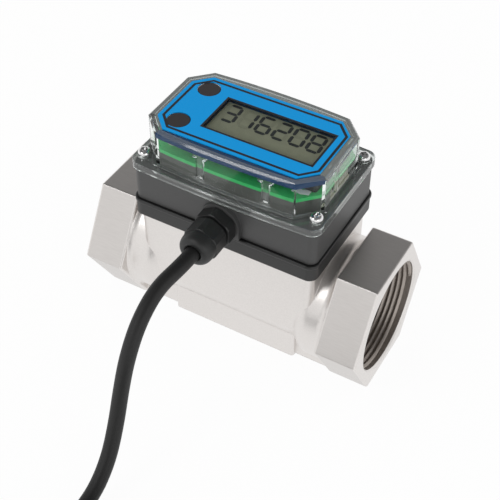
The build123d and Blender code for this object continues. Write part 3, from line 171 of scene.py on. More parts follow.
# Display
READING = "316208"
FIRST_DIGIT = -14.5
DIGIT_PITCH = 7.45
DIGIT_WIDTH = 5.1
DIGIT_LOW = -1.0
DIGIT_HEIGHT = 9.7
DIGIT_LEAN = -0.05
SEGMENT_WIDTH = 1.45
SEGMENT_GAP = 0.15
INK_HEIGHT = 0.03
DISPLAY_BORDER_HEIGHT = 0.05
OLIVE_LOW = (-17.0, -9.9)
OLIVE_HIGH = (29.2, 10.0)

# Ends of each segment, in digit widths and half heights from the lower left corner
SEGMENTS = {
    "top": ((0, 2), (1, 2)),
    "upper_left": ((0, 1), (0, 2)),
    "upper_right": ((1, 1), (1, 2)),
    "middle": ((0, 1), (1, 1)),
    "lower_left": ((0, 0), (0, 1)),
    "lower_right": ((1, 0), (1, 1)),
    "bottom": ((0, 0), (1, 0)),
}

# Segments that stay idle in each digit of the reading
IDLE_SEGMENTS = {
    "0": ["middle"],
    "1": ["top", "upper_left", "middle", "lower_left", "bottom"],
    "2": ["upper_left", "lower_right"],
    "3": ["upper_left", "lower_left"],
    "6": ["upper_right"],
    "8": [],
}

# Painted glint on a corner of the circuit board, and the pale ring of a plated hole
PAINTED_GLINT_PATCH = [
    (25.6, -16.2),
    (26.6, -12.8),
    (28.2, -14.0),
    (31.6, -12.4),
    (31.8, -15.6),
    (28.6, -16.6),
]
VIA_PLACE = (32.4, -12.2)
VIA_RADIUS = 0.55
MARK_HEIGHT = 0.05

# Rounding of edges, and the least angle of an edge that the cover rounds
COVER_EDGE = 0.3
COVER_EDGE_ANGLE = 40
COVER_EDGE_STEPS = 2
STEEL_EDGE = 0.5
PLASTIC_EDGE = 0.3

# Opaque finishes: the noise's detail, where its two tones lie and the edge shading's samples
NOISE_DETAIL = 2.0
TONE_PLACES = (0.3, 0.7)
EDGE_SAMPLES = 6

# Clear finishes: the plastic's IOR and the turns after which a ray goes straight on
POLYCARBONATE_IOR = 1.58
DEEPEST_TURN = 3


def colour(code):
    """Linear colour of an sRGB hex code."""
    parts = [int(code[i : i + 2], 16) / 255 for i in (1, 3, 5)]
    return [c / 12.92 if c <= 0.04045 else ((c + 0.055) / 1.055) ** 2.4 for c in parts] + [1.0]


def add(tree, kind, values=None, links=None, **settings):
    """Adds a node, with its settings, its input values and its links from other nodes."""
    made = tree.nodes.new(kind)
    for name, value in settings.items():
        setattr(made, name, value)
    for name, value in (values or {}).items():
        made.inputs[name].default_value = value
    for name, output in (links or {}).items():
        tree.links.new(output, made.inputs[name])
    return made


def new_material(name):
    """Empty node material and its node tree."""
    material = bpy.data.materials.new(name)
    material.use_nodes = True
    material.node_tree.nodes.clear()
    return material, material.node_tree


def grained(
    name,
    dark,
    light,
    grain,
    relief,
    roughness,
    metallic=0.0,
    stretch=(1, 1, 1),
    edge=None,
    gloss=0.5,
):
    """Opaque finish: one noise of a real grain size, in millimetres, gives two close tones and
    a fine relief; an edge is the radius that its shading rounds sharp edges to."""
    material, tree = new_material(name)
    place = add(tree, "ShaderNodeTexCoord")
    drawn_out = add(
        tree,
        "ShaderNodeMapping",
        values={"Scale": stretch},
        links={"Vector": place.outputs["Object"]},
    )
    noise = add(
        tree,
        "ShaderNodeTexNoise",
        values={"Scale": 1 / (grain * MM), "Detail": NOISE_DETAIL},
        links={"Vector": drawn_out.outputs["Vector"]},
    )
    tones = add(tree, "ShaderNodeValToRGB", links={"Fac": noise.outputs["Fac"]})
    for element, position, code in zip(tones.color_ramp.elements, TONE_PLACES, (dark, light)):
        element.position = position
        element.color = colour(code)
    dent_links = {"Height": noise.outputs["Fac"]}
    if edge:
        rounded = add(
            tree, "ShaderNodeBevel", samples=EDGE_SAMPLES, values={"Radius": edge * MM}
        )
        dent_links["Normal"] = rounded.outputs["Normal"]
    dents = add(tree, "ShaderNodeBump", values={"Distance": relief * MM}, links=dent_links)
    surface = add(
        tree,
        "ShaderNodeBsdfPrincipled",
        values={"Roughness": roughness, "Metallic": metallic, "Specular IOR Level": gloss},
        links={"Base Color": tones.outputs["Color"], "Normal": dents.outputs["Normal"]},
    )
    add(tree, "ShaderNodeOutputMaterial", links={"Surface": surface.outputs["BSDF"]})
    return material


# Cast stainless steel, bead blasted: tiny dents scatter the light, so the skin is pale and
# satin. The dents are about 0.1 mm wide and are drawn 0.5 mm wide so that they show.
def blasted_stainless_steel():
    return grained(
        "blasted_stainless_steel", "#dedad7", "#e4e0dd", 0.5, 0.012, 0.36, 1.0, edge=STEEL_EDGE
    )


# The same steel where the hexagons are milled: fine straight marks along the flow, a little
# darker than the blasted skin. The marks are 0.1 mm apart and are drawn 0.5 mm apart.
def milled_stainless_steel():
    return grained(
        "milled_stainless_steel",
        "#cdc9c6",
        "#d2cecb",
        0.5,
        0.006,
        0.34,
        1.0,
        stretch=(0.1, 1, 1),
        edge=STEEL_EDGE,
    )


# Stainless steel bored and threaded on a lathe: fine rings round the flow axis, so light
# spreads along the bore. The rings are 0.1 mm apart and are drawn 0.4 mm apart.
# Its tone, darker than the blasted skin, is painted shade of the deep bore.
def turned_steel_with_painted_shade():
    return grained(
        "turned_steel_with_painted_shade", "#a39b94", "#b2aaa3", 0.4, 0.006, 0.5, 1.0, stretch=(1, 0.1, 0.1)
    )


# Zinc-bright machine screws, cold headed: smooth and mirror-like with soft edges.
def bright_screw_steel():
    return grained("bright_screw_steel", "#e4e4e4", "#eeeeee", 0.6, 0.003, 0.16, 1.0)


# Carbon-filled bearing composite, turned: dark and dull with a slight sheen.
def turned_bearing_composite():
    return grained("turned_bearing_composite", "#3c3c3e", "#454547", 0.5, 0.004, 0.4)


# Dark grey ABS of the module, moulded in a lightly grained tool: an even satin grey. The
# tool's grain is about 0.1 mm and is drawn 0.35 mm wide.
def moulded_grey_abs():
    return grained("moulded_grey_abs", "#3e3e3e", "#434343", 0.35, 0.012, 0.46, edge=PLASTIC_EDGE)


# Darker grey ABS of the tray, from the same kind of tool: the module's grain, nearly black.
def moulded_dark_tray_abs():
    return grained(
        "moulded_dark_tray_abs", "#1f1f1f", "#242424", 0.35, 0.012, 0.44, edge=PLASTIC_EDGE
    )


# Black nitrile rubber of the gasket and seals, press moulded: deep black, barely shiny.
def moulded_black_rubber():
    return grained("moulded_black_rubber", "#080808", "#0d0d0d", 0.4, 0.01, 0.34)


# Black nylon of the cable gland, moulded in a spark-eroded tool: a fine matt grain, so
# the edges catch a soft grey light. The 0.1 mm grain is drawn 0.5 mm wide.
def moulded_black_nylon():
    return grained("moulded_black_nylon", "#1a1b1b", "#1f2020", 0.5, 0.012, 0.48, edge=PLASTIC_EDGE)


# Black PVC jacket, drawn through a die: smooth, with a long soft shine along the cable.
def extruded_black_pvc():
    return grained("extruded_black_pvc", "#0f0f0f", "#131313", 0.8, 0.008, 0.55)


# Blue polyester film, screen printed and matt laminated: a flat, even, strong colour.
def printed_blue_film():
    return grained("printed_blue_film", "#0094dc", "#0098e0", 0.3, 0.003, 0.6, gloss=0.15)


# Painted reflection of the blue film, seen in the thick clear wall and the front of the deck: a
# dark blue.
def painted_label_reflection():
    return grained("painted_label_reflection", "#193a60", "#1c4069", 0.3, 0.002, 0.6)


# Black screen-printing ink on the film and the display: flat and dull.
def black_printing_ink():
    return grained("black_printing_ink", "#10131a", "#151920", 0.3, 0.002, 0.5)


# Brown-black polyester cap of the buttons, embossed: satin with a faint warm tone.
def embossed_brown_polyester():
    return grained("embossed_brown_polyester", "#261f1f", "#2c2525", 0.4, 0.008, 0.42)


# Green solder mask over glass-epoxy board: a smooth coat with the weave faintly under it.
# The weave's cells are about 0.5 mm and are drawn 2.5 mm wide so that they show.
def green_solder_mask():
    return grained("green_solder_mask", "#3fb568", "#47c072", 2.5, 0.004, 0.4, gloss=0.2)


# Dark ABS of the board's carrier, moulded with a fine matt grain.
def moulded_dark_abs():
    return grained("moulded_dark_abs", "#4b4a48", "#52514f", 0.4, 0.01, 0.5)


# Pale unfilled nylon of switches, spool and pin block, moulded: creamy and slightly waxy.
def moulded_pale_nylon():
    return grained("moulded_pale_nylon", "#d2cbb8", "#dbd4c2", 0.5, 0.008, 0.45)


# Nickel-plated steel cans of the coin cells, deep drawn: bright with a cool tone.
def nickel_plated_steel():
    return grained("nickel_plated_steel", "#c4c4c6", "#d2d2d4", 0.6, 0.003, 0.25, 1.0)


# Phosphor bronze strip, stamped and bent: warm and smooth.
def stamped_phosphor_bronze():
    return grained("stamped_phosphor_bronze", "#b08d57", "#bd9a64", 0.5, 0.003, 0.3, 1.0)


# Enamelled copper wire wound in layers: fine level rings. The 0.1 mm wire is drawn 0.3 mm.
def wound_copper_wire():
    return grained(
        "wound_copper_wire", "#a8552c", "#bd6a3d", 0.3, 0.05, 0.35, 1.0, stretch=(0.1, 0.1, 1)
    )


# Reflective liquid-crystal glass: olive grey with an even, almost papery look.
def olive_display_glass():
    return grained("olive_display_glass", "#7b7967", "#817f6c", 3.0, 0.0, 0.3)


# Driven liquid crystal over the reflector: dark, slightly blue segments.
def dark_liquid_crystal():
    return grained("dark_liquid_crystal", "#15171b", "#1a1c20", 0.5, 0.001, 0.4)


# Idle liquid crystal: its electrodes are just darker than the ground.
def idle_liquid_crystal():
    return grained("idle_liquid_crystal", "#747261", "#797765", 0.5, 0.001, 0.35)


# Very dark blue border round the display's olive area, seen through the glass.
def navy_display_border():
    return grained("navy_display_border", "#0c1626", "#101c30", 0.5, 0.001, 0.4)


# Black polycarbonate of the display's frame, moulded: satin black.
def moulded_black_frame():
    return grained("moulded_black_frame", "#1c1c1e", "#222224", 0.4, 0.01, 0.5)


# White PVC insulation of the conductors, drawn through a die: smooth and slightly warm.
def white_wire_insulation():
    return grained("white_wire_insulation", "#c9c9c6", "#d4d4d1", 0.6, 0.004, 0.45)


# Bright flat white on the circuit board: a painted glint at its corner, and the pale ring of a
# plated hole.
def white_glint_and_via_ink():
    return grained("white_glint_and_via_ink", "#f6f8f6", "#fcfefc", 0.4, 0.001, 0.5)


def clear_moulding(name, tint, roughness, glare, clearness, pass_tint):
    """Clear plastic: it bends and mirrors what is around it. Lamp light passes through it, and
    so does a ray that has turned many times in its edges, which would otherwise end in black."""
    material, tree = new_material(name)
    clear = add(
        tree,
        "ShaderNodeBsdfPrincipled",
        values={
            "Base Color": colour(tint),
            "Roughness": roughness,
            "IOR": POLYCARBONATE_IOR,
            "Specular Tint": colour(glare),
            "Transmission Weight": clearness,
        },
    )
    through = add(tree, "ShaderNodeBsdfTransparent", values={"Color": colour(pass_tint)})
    path = add(tree, "ShaderNodeLightPath")
    light_inward = add(
        tree,
        "ShaderNodeMath",
        operation="MAXIMUM",
        links={0: path.outputs["Is Shadow Ray"], 1: path.outputs["Is Diffuse Ray"]},
    )
    many_turns = add(
        tree,
        "ShaderNodeMath",
        operation="GREATER_THAN",
        values={1: DEEPEST_TURN},
        links={0: path.outputs["Ray Depth"]},
    )
    straight_on = add(
        tree,
        "ShaderNodeMath",
        operation="MAXIMUM",
        links={0: light_inward.outputs[0], 1: many_turns.outputs[0]},
    )
    mixed = add(
        tree,
        "ShaderNodeMixShader",
        links={0: straight_on.outputs[0], 1: clear.outputs["BSDF"], 2: through.outputs["BSDF"]},
    )
    add(tree, "ShaderNodeOutputMaterial", links={"Surface": mixed.outputs["Shader"]})
    return material


# Clear polycarbonate, moulded in a polished tool: sharp, and almost free of glare.
def polished_clear_polycarbonate():
    return clear_moulding(
        "polished_clear_polycarbonate", "#fafdfc", 0.01, "#303030", 1.0, "#f6faf8"
    )


# The same polycarbonate where the tool is finely drawn, on the flange, the clips, the front
# of the rim and the edges: light spreads in it, so it shows as pale grey streaks over what
# lies below.
def satin_clear_polycarbonate():
    return clear_moulding("satin_clear_polycarbonate", "#dfe3e2", 0.06, "#ffffff", 0.9, "#e6eae8")


# The same polycarbonate on the back and sides of the rim and on the deck's margin: a half-opaque
# grey that half hides the inside, unlike the satin front of the rim.
def frosted_clear_polycarbonate():
    return clear_moulding("frosted_clear_polycarbonate", "#9b9f9d", 0.16, "#ffffff", 0.5, "#e0e4e2")


# Materials made so far, by the function that makes each
MATERIALS = {}

# Which nodes of the frame have which finish
NODE_FINISHES = {
    blasted_stainless_steel: ["meter_body"],
    turned_steel_with_painted_shade: [
        "outlet_support",
        "inlet_support",
        "rotor",
        "rotor_shaft",
        "thrust_washers",
        "pickup_magnet",
    ],
    bright_screw_steel: ["retaining_rings", "base_screws", "cover_screws", "board_screws"],
    turned_bearing_composite: ["rotor_bearings"],
    moulded_grey_abs: ["module_housing"],
    moulded_dark_tray_abs: ["base_plate"],
    moulded_black_rubber: [
        "body_gasket",
        "cover_gasket",
        "lcd_connectors",
        "gland_oring",
        "gland_seal",
    ],
    moulded_black_nylon: ["gland_body", "gland_nut"],
    polished_clear_polycarbonate: ["clear_cover"],
    printed_blue_film: ["face_label"],
    embossed_brown_polyester: ["rate_button", "total_button"],
    green_solder_mask: ["circuit_board"],
    moulded_dark_abs: ["board_carrier"],
    moulded_pale_nylon: [
        "pickup_bobbin",
        "rate_plunger",
        "total_plunger",
        "switch_pads",
        "pin_header",
    ],
    nickel_plated_steel: ["coin_cells"],
    stamped_phosphor_bronze: ["cell_contacts", "pickup_leads"],
    wound_copper_wire: ["pickup_winding"],
    olive_display_glass: ["lcd_glass"],
    moulded_black_frame: ["lcd_frame"],
    white_wire_insulation: ["cable_leads", "inner_leads"],
}


def finish(make):
    """The material that a function makes, made once."""
    if make not in MATERIALS:
        MATERIALS[make] = make()
    return MATERIALS[make]


def box_of(node):
    """Low and high corner of a node."""
    return [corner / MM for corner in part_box(node)]


def centre_of(node):
    """Middle of a node's box."""
    low, high = box_of(node)
    return (low + high) / 2


def dress_frame():
    """Gives every shown node of the frame its finish."""
    for make, names in NODE_FINISHES.items():
        for name in names:
            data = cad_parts[name].data
            data.materials.clear()
            data.materials.append(finish(make))


def wall_half():
    """Half length and half width of the cover's wall, from the label's box."""
    low, high = box_of("face_label")
    return ((high.x - low.x) / 2 + LABEL_INSET, (high.y - low.y) / 2 + LABEL_INSET)


def dress_cover():
    """Gives the cover's flange, clips and front rim a satin finish and the rest of its rim a
    frosted one, and rounds its edges."""
    satin, frosted = 1, 2
    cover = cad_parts["clear_cover"]
    cover.data.materials.append(finish(satin_clear_polycarbonate))
    cover.data.materials.append(finish(frosted_clear_polycarbonate))
    rim = box_of("face_label")[0].z
    half_x, half_y = wall_half()
    for face in cover.data.polygons:
        x, y, height = face.center / MM
        share = (x - WALL_CENTRE_X) / (half_x - WALL_CUT[0])
        inside = half_y - WALL_THICKNESS + WALL_BOW * max(0.0, 1 - share**2)
        near_clip = min(abs(x - place) for place in CLIP_PLACES) < CLIP_REACH
        on_clip = near_clip and inside / 2 < abs(y) < inside - CLIP_LEAST_DEPTH
        if height < FLANGE_TOP or (on_clip and height < rim - CLIP_BELOW_RIM):
            face.material_index = satin
        elif height > rim + RIM_SLACK:
            face.material_index = satin if y < FRONT_RIM_END else frosted
    rounding = cover.modifiers.new("rounded_edges", "BEVEL")
    rounding.width = COVER_EDGE * MM
    rounding.segments = COVER_EDGE_STEPS
    rounding.limit_method = "ANGLE"
    rounding.angle_limit = math.radians(COVER_EDGE_ANGLE)
    rounding.material = satin


def dress_body():
    """Gives the body's flow passage its turned finish with painted shade and the hexagons' flats a
    milled one.
    """
    turned, milled = 1, 2
    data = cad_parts["meter_body"].data
    data.materials.append(finish(turned_steel_with_painted_shade))
    data.materials.append(finish(milled_stainless_steel))
    axis = centre_of("rotor").z
    low, high = box_of("meter_body")
    for face in data.polygons:
        across = Vector((face.center.y, face.center.z - axis * MM))
        outward = Vector((face.normal.y, face.normal.z))
        from_port = min(high.x - face.center.x / MM, face.center.x / MM - low.x)
        if across.length < (THREAD_ROOT + BORE_SLACK) * MM and outward.dot(across) < 0:
            face.material_index = turned
        elif from_port < HEX_LENGTH and abs(face.normal.x) < FLAT_LEAN:
            face.material_index = milled


def piece_from(mesh, name, make):
    """New piece from a bmesh, fixed to the meter."""
    data = bpy.data.meshes.new(name)
    bmesh.ops.recalc_face_normals(mesh, faces=mesh.faces)
    mesh.to_mesh(data)
    mesh.free()
    data.materials.append(finish(make))
    obj = bpy.data.objects.new(name, data)
    bpy.context.scene.collection.objects.link(obj)
    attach(obj, "meter")
    return obj


def slab(mesh, outline, low, high, hole=None):
    """Adds a flat plate between two heights; a hole has as many points as the outline."""
    rings = [outline, hole] if hole else [outline]
    levels = []
    for z in (low, high):
        level = [[mesh.verts.new((x * MM, y * MM, z * MM)) for x, y in ring] for ring in rings]
        levels.append(level)
    bottom, top = levels
    count = len(outline)
    for i in range(count):
        j = (i + 1) % count
        for ring in range(len(rings)):
            mesh.faces.new((bottom[ring][i], bottom[ring][j], top[ring][j], top[ring][i]))
        if hole:
            for level in levels:
                mesh.faces.new((level[0][i], level[0][j], level[1][j], level[1][i]))
    if not hole:
        mesh.faces.new(bottom[0])
        mesh.faces.new(top[0])


def cut_rectangle(half, cut, inset=0.0):
    """Eight-sided outline with cut corners, moved in by an inset."""
    slant = math.hypot(*cut)
    x, y = half[0] - inset, half[1] - inset
    cut_x = cut[0] - inset * (1 - (slant - cut[0]) / cut[1])
    cut_y = cut[1] - inset * (1 - (slant - cut[1]) / cut[0])
    corner = [(x, y - cut_y), (x - cut_x, y)]
    return (
        corner
        + [(-px, py) for px, py in reversed(corner)]
        + [(-px, -py) for px, py in corner]
        + [(px, -py) for px, py in reversed(corner)]
    )


def rectangle(low, high, grow=0.0):
    """Four-sided outline, grown outwards."""
    x0, y0 = low[0] - grow, low[1] - grow
    x1, y1 = high[0] + grow, high[1] + grow
    return [(x0, y0), (x1, y0), (x1, y1), (x0, y1)]


def circle(centre, radius, count=48):
    """Round outline."""
    turns = [2 * math.pi * i / count for i in range(count)]
    return [(centre[0] + radius * math.cos(t), centre[1] + radius * math.sin(t)) for t in turns]


def coil_points():
    """Centreline of the coil's turns, rank beside rank and layer on layer."""
    points = []
    steps = round(COIL_STATIONS[-1][0] * COIL_POINTS_PER_TURN)
    for step in range(steps + 1):
        turn = step / COIL_POINTS_PER_TURN
        pairs = zip(COIL_STATIONS, COIL_STATIONS[1:])
        before, after = next(pair for pair in pairs if turn <= pair[1][0] + TURN_SLACK)
        share = (turn - before[0]) / (after[0] - before[0])
        radius = before[1] + share * (after[1] - before[1])
        height = before[2] + share * (after[2] - before[2])
        angle = math.radians(COIL_START_ANGLE + 360 * turn)
        x = COIL_CENTRE[0] + radius * math.cos(angle)
        y = COIL_CENTRE[1] + radius * math.sin(angle)
        points.append((x, y, height))
    return points


def end_points(last, before):
    """The cable's free end, which turns in over the coil."""
    heading = math.atan2(last[1] - before[1], last[0] - before[0]) + math.radians(END_TURN_IN)
    return [
        (last[0] + run * math.cos(heading), last[1] + run * math.sin(heading), last[2])
        for run in (END_LENGTH / 2, END_LENGTH)
    ]


def signal_cable():
    """Black cable from the gland to the surface and on into its coil."""
    coil = coil_points()
    points = [CABLE_START] + CABLE_ROUTE + coil + end_points(coil[-1], coil[-2])
    data = bpy.data.curves.new("signal_cable_line", "CURVE")
    data.dimensions = "3D"
    data.bevel_depth = CABLE_DIAMETER / 2 * MM
    data.bevel_resolution = CABLE_SMOOTHNESS
    data.resolution_u = CABLE_SMOOTHNESS
    data.use_fill_caps = True
    spline = data.splines.new("NURBS")
    spline.points.add(len(points) - 1)
    for control, (x, y, z) in zip(spline.points, points):
        control.co = (x * MM, y * MM, z * MM, 1.0)
    spline.order_u = 3
    spline.use_endpoint_u = True
    obj = bpy.data.objects.new("signal_cable_run", data)
    bpy.context.scene.collection.objects.link(obj)
    data.materials.append(finish(extruded_black_pvc))
    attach(obj, "meter")
    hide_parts("cable_entry", "signal_cable", "cable_coil", "cable_end")


def port_thread(name, start):
    """Helical thread ridge inside a port, starting at its lower station along the flow axis."""
    axis = centre_of("rotor").z
    mesh = bmesh.new()
    beyond = THREAD_ROOT + THREAD_BEYOND_ROOT
    profile = [
        (0.0, beyond),
        (THREAD_FOOT, THREAD_ROOT),
        (0.5 - THREAD_TIP / 2, THREAD_CREST),
        (0.5 + THREAD_TIP / 2, THREAD_CREST),
        (1 - THREAD_FOOT, THREAD_ROOT),
        (1.0, beyond),
    ]
    turns = (THREAD_DEPTH - THREAD_MOUTH_INSET) / THREAD_PITCH - 1
    rows = []
    for step in range(round(turns * THREAD_STEPS) + 1):
        angle = 2 * math.pi * step / THREAD_STEPS
        station = start + THREAD_PITCH * step / THREAD_STEPS
        row = []
        for along, radius in profile:
            place = (
                (station + along * THREAD_PITCH) * MM,
                radius * math.sin(angle) * MM,
                (axis + radius * math.cos(angle)) * MM,
            )
            row.append(mesh.verts.new(place))
        rows.append(row)
    count = len(profile)
    for row, following in zip(rows, rows[1:]):
        for i in range(count):
            j = (i + 1) % count
            mesh.faces.new((row[i], row[j], following[j], following[i]))
    mesh.faces.new(rows[0])
    mesh.faces.new(list(reversed(rows[-1])))
    obj = piece_from(mesh, name, turned_steel_with_painted_shade)
    for face in obj.data.polygons:
        face.use_smooth = True


def port_threads():
    """The thread in each port, a short way in from its mouth."""
    low, high = box_of("meter_body")
    port_thread("outlet_thread", high.x - THREAD_DEPTH)
    port_thread("inlet_thread", low.x + THREAD_MOUTH_INSET)


def label_lines():
    """Black lines printed on the face label: the border and the window's edge."""
    under, low = (corner.z for corner in box_of("face_label"))
    high = low + LINE_HEIGHT
    mesh = bmesh.new()
    border = cut_rectangle(BORDER_HALF, BORDER_CUT)
    slab(mesh, border, low, high, cut_rectangle(BORDER_HALF, BORDER_CUT, BORDER_WIDTH))
    window = rectangle(WINDOW_LOW, WINDOW_HIGH, -WINDOW_LINE_REACH)
    slab(mesh, rectangle(WINDOW_LOW, WINDOW_HIGH, WINDOW_LINE), under, high, window)
    piece_from(mesh, "label_lines", black_printing_ink)


def long_side(start, end, bow):
    """Points of one long side with its bow."""
    points = []
    for step in range(WALL_STEPS + 1):
        share = 2 * step / WALL_STEPS - 1
        out = bow * (1 - share**2)
        points.append((end[0] * share, start[1] + math.copysign(out, start[1])))
    return points


def wall_outline(inset, bow):
    """Outline of the cover's wall moved in by an inset, its long sides bowed outwards."""
    corners = cut_rectangle(wall_half(), WALL_CUT, inset)
    back = long_side(corners[1], corners[2], bow)
    front = long_side(corners[5], corners[6], bow)
    points = corners[:1] + back + corners[3:5] + front + corners[7:]
    return [(WALL_CENTRE_X + x, y) for x, y in points]


def painted_blue_reflection_band():
    """Painted reflection of the label's blue: a band in the front wall and a strip in the front of
    the clear deck.
    """
    outside = wall_outline(BAND_INSET, WALL_BOW)[FRONT_START:]
    inside = wall_outline(BAND_INSET + BAND_THICKNESS, WALL_BOW)[FRONT_START:]
    label_edge = wall_outline(LABEL_INSET, 0.0)[FRONT_START:]
    top = box_of("face_label")[0].z - BAND_TOP
    mesh = bmesh.new()
    slab(mesh, outside + inside[::-1], top - BAND_HEIGHT, top)
    slab(mesh, inside + label_edge[::-1], top - MARGIN_DEPTH, top)
    piece_from(mesh, "painted_blue_reflection_band", painted_label_reflection)


def deck_margin():
    """Frosted margin of the clear deck between the label and the rim, behind and at the sides."""
    low = box_of("face_label")[0].z
    rim = wall_outline(WALL_THICKNESS, WALL_BOW)
    label_edge = wall_outline(LABEL_INSET, 0.0)
    outer = rim[-1:] + rim[: FRONT_START + 1]
    inner = label_edge[-1:] + label_edge[: FRONT_START + 1]
    mesh = bmesh.new()
    slab(mesh, outer + inner[::-1], low, low + MARGIN_HEIGHT)
    piece_from(mesh, "deck_margin", frosted_clear_polycarbonate)


def leaned(points):
    """Points of the display, sheared by the digits' lean."""
    return [(x + DIGIT_LEAN * (y - DIGIT_LOW), y) for x, y in points]


def segment_bar(start, end):
    """Pointed bar of one digit segment."""
    (x0, y0), (x1, y1) = start, end
    length = math.hypot(x1 - x0, y1 - y0)
    along = ((x1 - x0) / length, (y1 - y0) / length)
    across = (-along[1], along[0])
    half = SEGMENT_WIDTH / 2
    gap = SEGMENT_GAP
    shape = [
        (gap, 0),
        (gap + half, half),
        (length - gap - half, half),
        (length - gap, 0),
        (length - gap - half, -half),
        (gap + half, -half),
    ]
    return leaned(
        [(x0 + a * along[0] + c * across[0], y0 + a * along[1] + c * across[1]) for a, c in shape]
    )


def display_digits():
    """Dark segments of the reading, and the faint idle ones beside them."""
    low = box_of("lcd_glass")[1].z
    lit, idle = bmesh.new(), bmesh.new()
    for place, digit in enumerate(READING):
        left = FIRST_DIGIT + place * DIGIT_PITCH
        for name, (start, end) in SEGMENTS.items():
            ends = [
                (left + x * DIGIT_WIDTH, DIGIT_LOW + y * DIGIT_HEIGHT / 2) for x, y in (start, end)
            ]
            target = idle if name in IDLE_SEGMENTS[digit] else lit
            slab(target, segment_bar(*ends), low, low + INK_HEIGHT)
    piece_from(lit, "display_digits", dark_liquid_crystal)
    piece_from(idle, "display_idle_segments", idle_liquid_crystal)


def display_border():
    """Navy border round the display's olive area."""
    low, high = box_of("lcd_glass")
    outer = rectangle((low.x, low.y), (high.x, high.y))
    mesh = bmesh.new()
    slab(mesh, outer, high.z, high.z + DISPLAY_BORDER_HEIGHT, rectangle(OLIVE_LOW, OLIVE_HIGH))
    piece_from(mesh, "display_border", navy_display_border)


def board_glint_and_via():
    """Painted white glint at the board's corner, and the pale ring of a plated hole."""
    low = box_of("circuit_board")[1].z
    board_marks = {"board_corner_glint": PAINTED_GLINT_PATCH, "board_via": circle(VIA_PLACE, VIA_RADIUS)}
    for name, outline in board_marks.items():
        mesh = bmesh.new()
        slab(mesh, outline, low, low + MARK_HEIGHT)
        piece_from(mesh, name, white_glint_and_via_ink)


def camera():
    """Camera at the photograph's place, with its small roll."""
    data = bpy.data.cameras.new("camera")
    data.lens = CAMERA_LENS
    data.sensor_width = CAMERA_SENSOR
    data.clip_start, data.clip_end = CAMERA_CLIP
    obj = bpy.data.objects.new("camera", data)
    bpy.context.scene.collection.objects.link(obj)
    place = Vector(CAMERA_PLACE) * MM
    towards = Vector(CAMERA_TARGET) * MM - place
    obj.location = place
    obj.rotation_mode = "QUATERNION"
    roll = Quaternion((0, 0, 1), math.radians(CAMERA_ROLL))
    obj.rotation_quaternion = towards.to_track_quat("-Z", "Y") @ roll
    bpy.context.scene.camera = obj


def soft_lamp(name, place, size, watts):
    """Square soft lamp aimed at the meter; its place and size are in metres."""
    data = bpy.data.lights.new(name, "AREA")
    data.size = size
    data.energy = watts
    obj = bpy.data.objects.new(name, data)
    bpy.context.scene.collection.objects.link(obj)
    obj.location = place
    obj.rotation_mode = "QUATERNION"
    obj.rotation_quaternion = (Vector(LAMP_TARGET) - obj.location).to_track_quat("-Z", "Y")


def background_rays(tree):
    """Share of rays that see the background itself: camera, glossy and transmission rays."""
    path = add(tree, "ShaderNodeLightPath")
    seen = add(
        tree,
        "ShaderNodeMath",
        operation="MAXIMUM",
        links={0: path.outputs["Is Camera Ray"], 1: path.outputs["Is Transmission Ray"]},
    )
    return add(
        tree,
        "ShaderNodeMath",
        operation="MAXIMUM",
        links={0: seen.outputs[0], 1: path.outputs["Is Glossy Ray"]},
    )


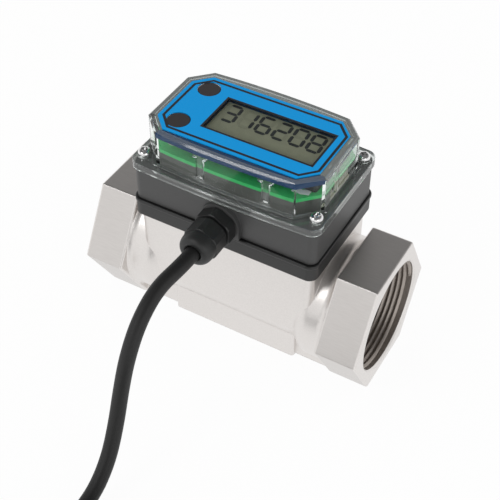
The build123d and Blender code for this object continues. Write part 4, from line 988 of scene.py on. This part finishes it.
def studio_world():
    """White backdrop that greys towards the ceiling, with a plain light for the object."""
    world = bpy.data.worlds.new("studio")
    bpy.context.scene.world = world
    world.use_nodes = True
    tree = world.node_tree
    tree.nodes.clear()
    place = add(tree, "ShaderNodeTexCoord")
    split = add(tree, "ShaderNodeSeparateXYZ", links={"Vector": place.outputs["Generated"]})
    ramp = add(tree, "ShaderNodeValToRGB", links={"Fac": split.outputs["Z"]})
    white, grey = ramp.color_ramp.elements
    white.position = WHITE_UP_TO
    white.color = WHITE
    grey.position = GREY_FROM
    grey.color = (CEILING_GREY, CEILING_GREY, CEILING_GREY, 1)
    backdrop = add(tree, "ShaderNodeBackground", links={"Color": ramp.outputs["Color"]})
    ambient = add(
        tree, "ShaderNodeBackground", values={"Color": WHITE, "Strength": AMBIENT_STRENGTH}
    )
    mixed = add(
        tree,
        "ShaderNodeMixShader",
        links={
            0: background_rays(tree).outputs[0],
            1: ambient.outputs["Background"],
            2: backdrop.outputs["Background"],
        },
    )
    add(tree, "ShaderNodeOutputWorld", links={"Surface": mixed.outputs["Shader"]})


def floor():
    """Plain white floor that keeps a faint shadow."""
    material, tree = new_material("white_paper_floor")
    paper = add(tree, "ShaderNodeBsdfDiffuse", values={"Color": colour("#f6f6f6")})
    white = add(tree, "ShaderNodeEmission", values={"Color": WHITE, "Strength": 1.0})
    share = add(
        tree,
        "ShaderNodeMath",
        operation="MULTIPLY",
        values={1: FLOOR_WHITE},
        links={0: background_rays(tree).outputs[0]},
    )
    mixed = add(
        tree,
        "ShaderNodeMixShader",
        links={0: share.outputs[0], 1: paper.outputs["BSDF"], 2: white.outputs["Emission"]},
    )
    add(tree, "ShaderNodeOutputMaterial", links={"Surface": mixed.outputs["Shader"]})
    mesh = bmesh.new()
    bmesh.ops.create_grid(mesh, x_segments=1, y_segments=1, size=FLOOR_HALF)
    data = bpy.data.meshes.new("floor")
    mesh.to_mesh(data)
    mesh.free()
    obj = bpy.data.objects.new("floor", data)
    obj.location.z = -FLOOR_DROP
    bpy.context.scene.collection.objects.link(obj)
    data.materials.append(material)


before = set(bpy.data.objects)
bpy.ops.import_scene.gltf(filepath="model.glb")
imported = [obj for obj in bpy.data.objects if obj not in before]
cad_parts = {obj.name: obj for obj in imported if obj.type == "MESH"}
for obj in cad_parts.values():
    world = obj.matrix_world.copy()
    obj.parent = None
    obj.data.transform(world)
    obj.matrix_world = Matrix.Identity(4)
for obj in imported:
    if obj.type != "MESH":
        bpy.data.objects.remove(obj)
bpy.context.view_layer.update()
bpy.context.scene.view_settings.view_transform = "Standard"
camera()

dress_frame()
dress_cover()
dress_body()
signal_cable()
port_threads()
label_lines()
painted_blue_reflection_band()
deck_margin()
display_border()
display_digits()
board_glint_and_via()

studio_world()
floor()
for name, (place, size, watts) in LAMPS.items():
    soft_lamp(name, place, size, watts)
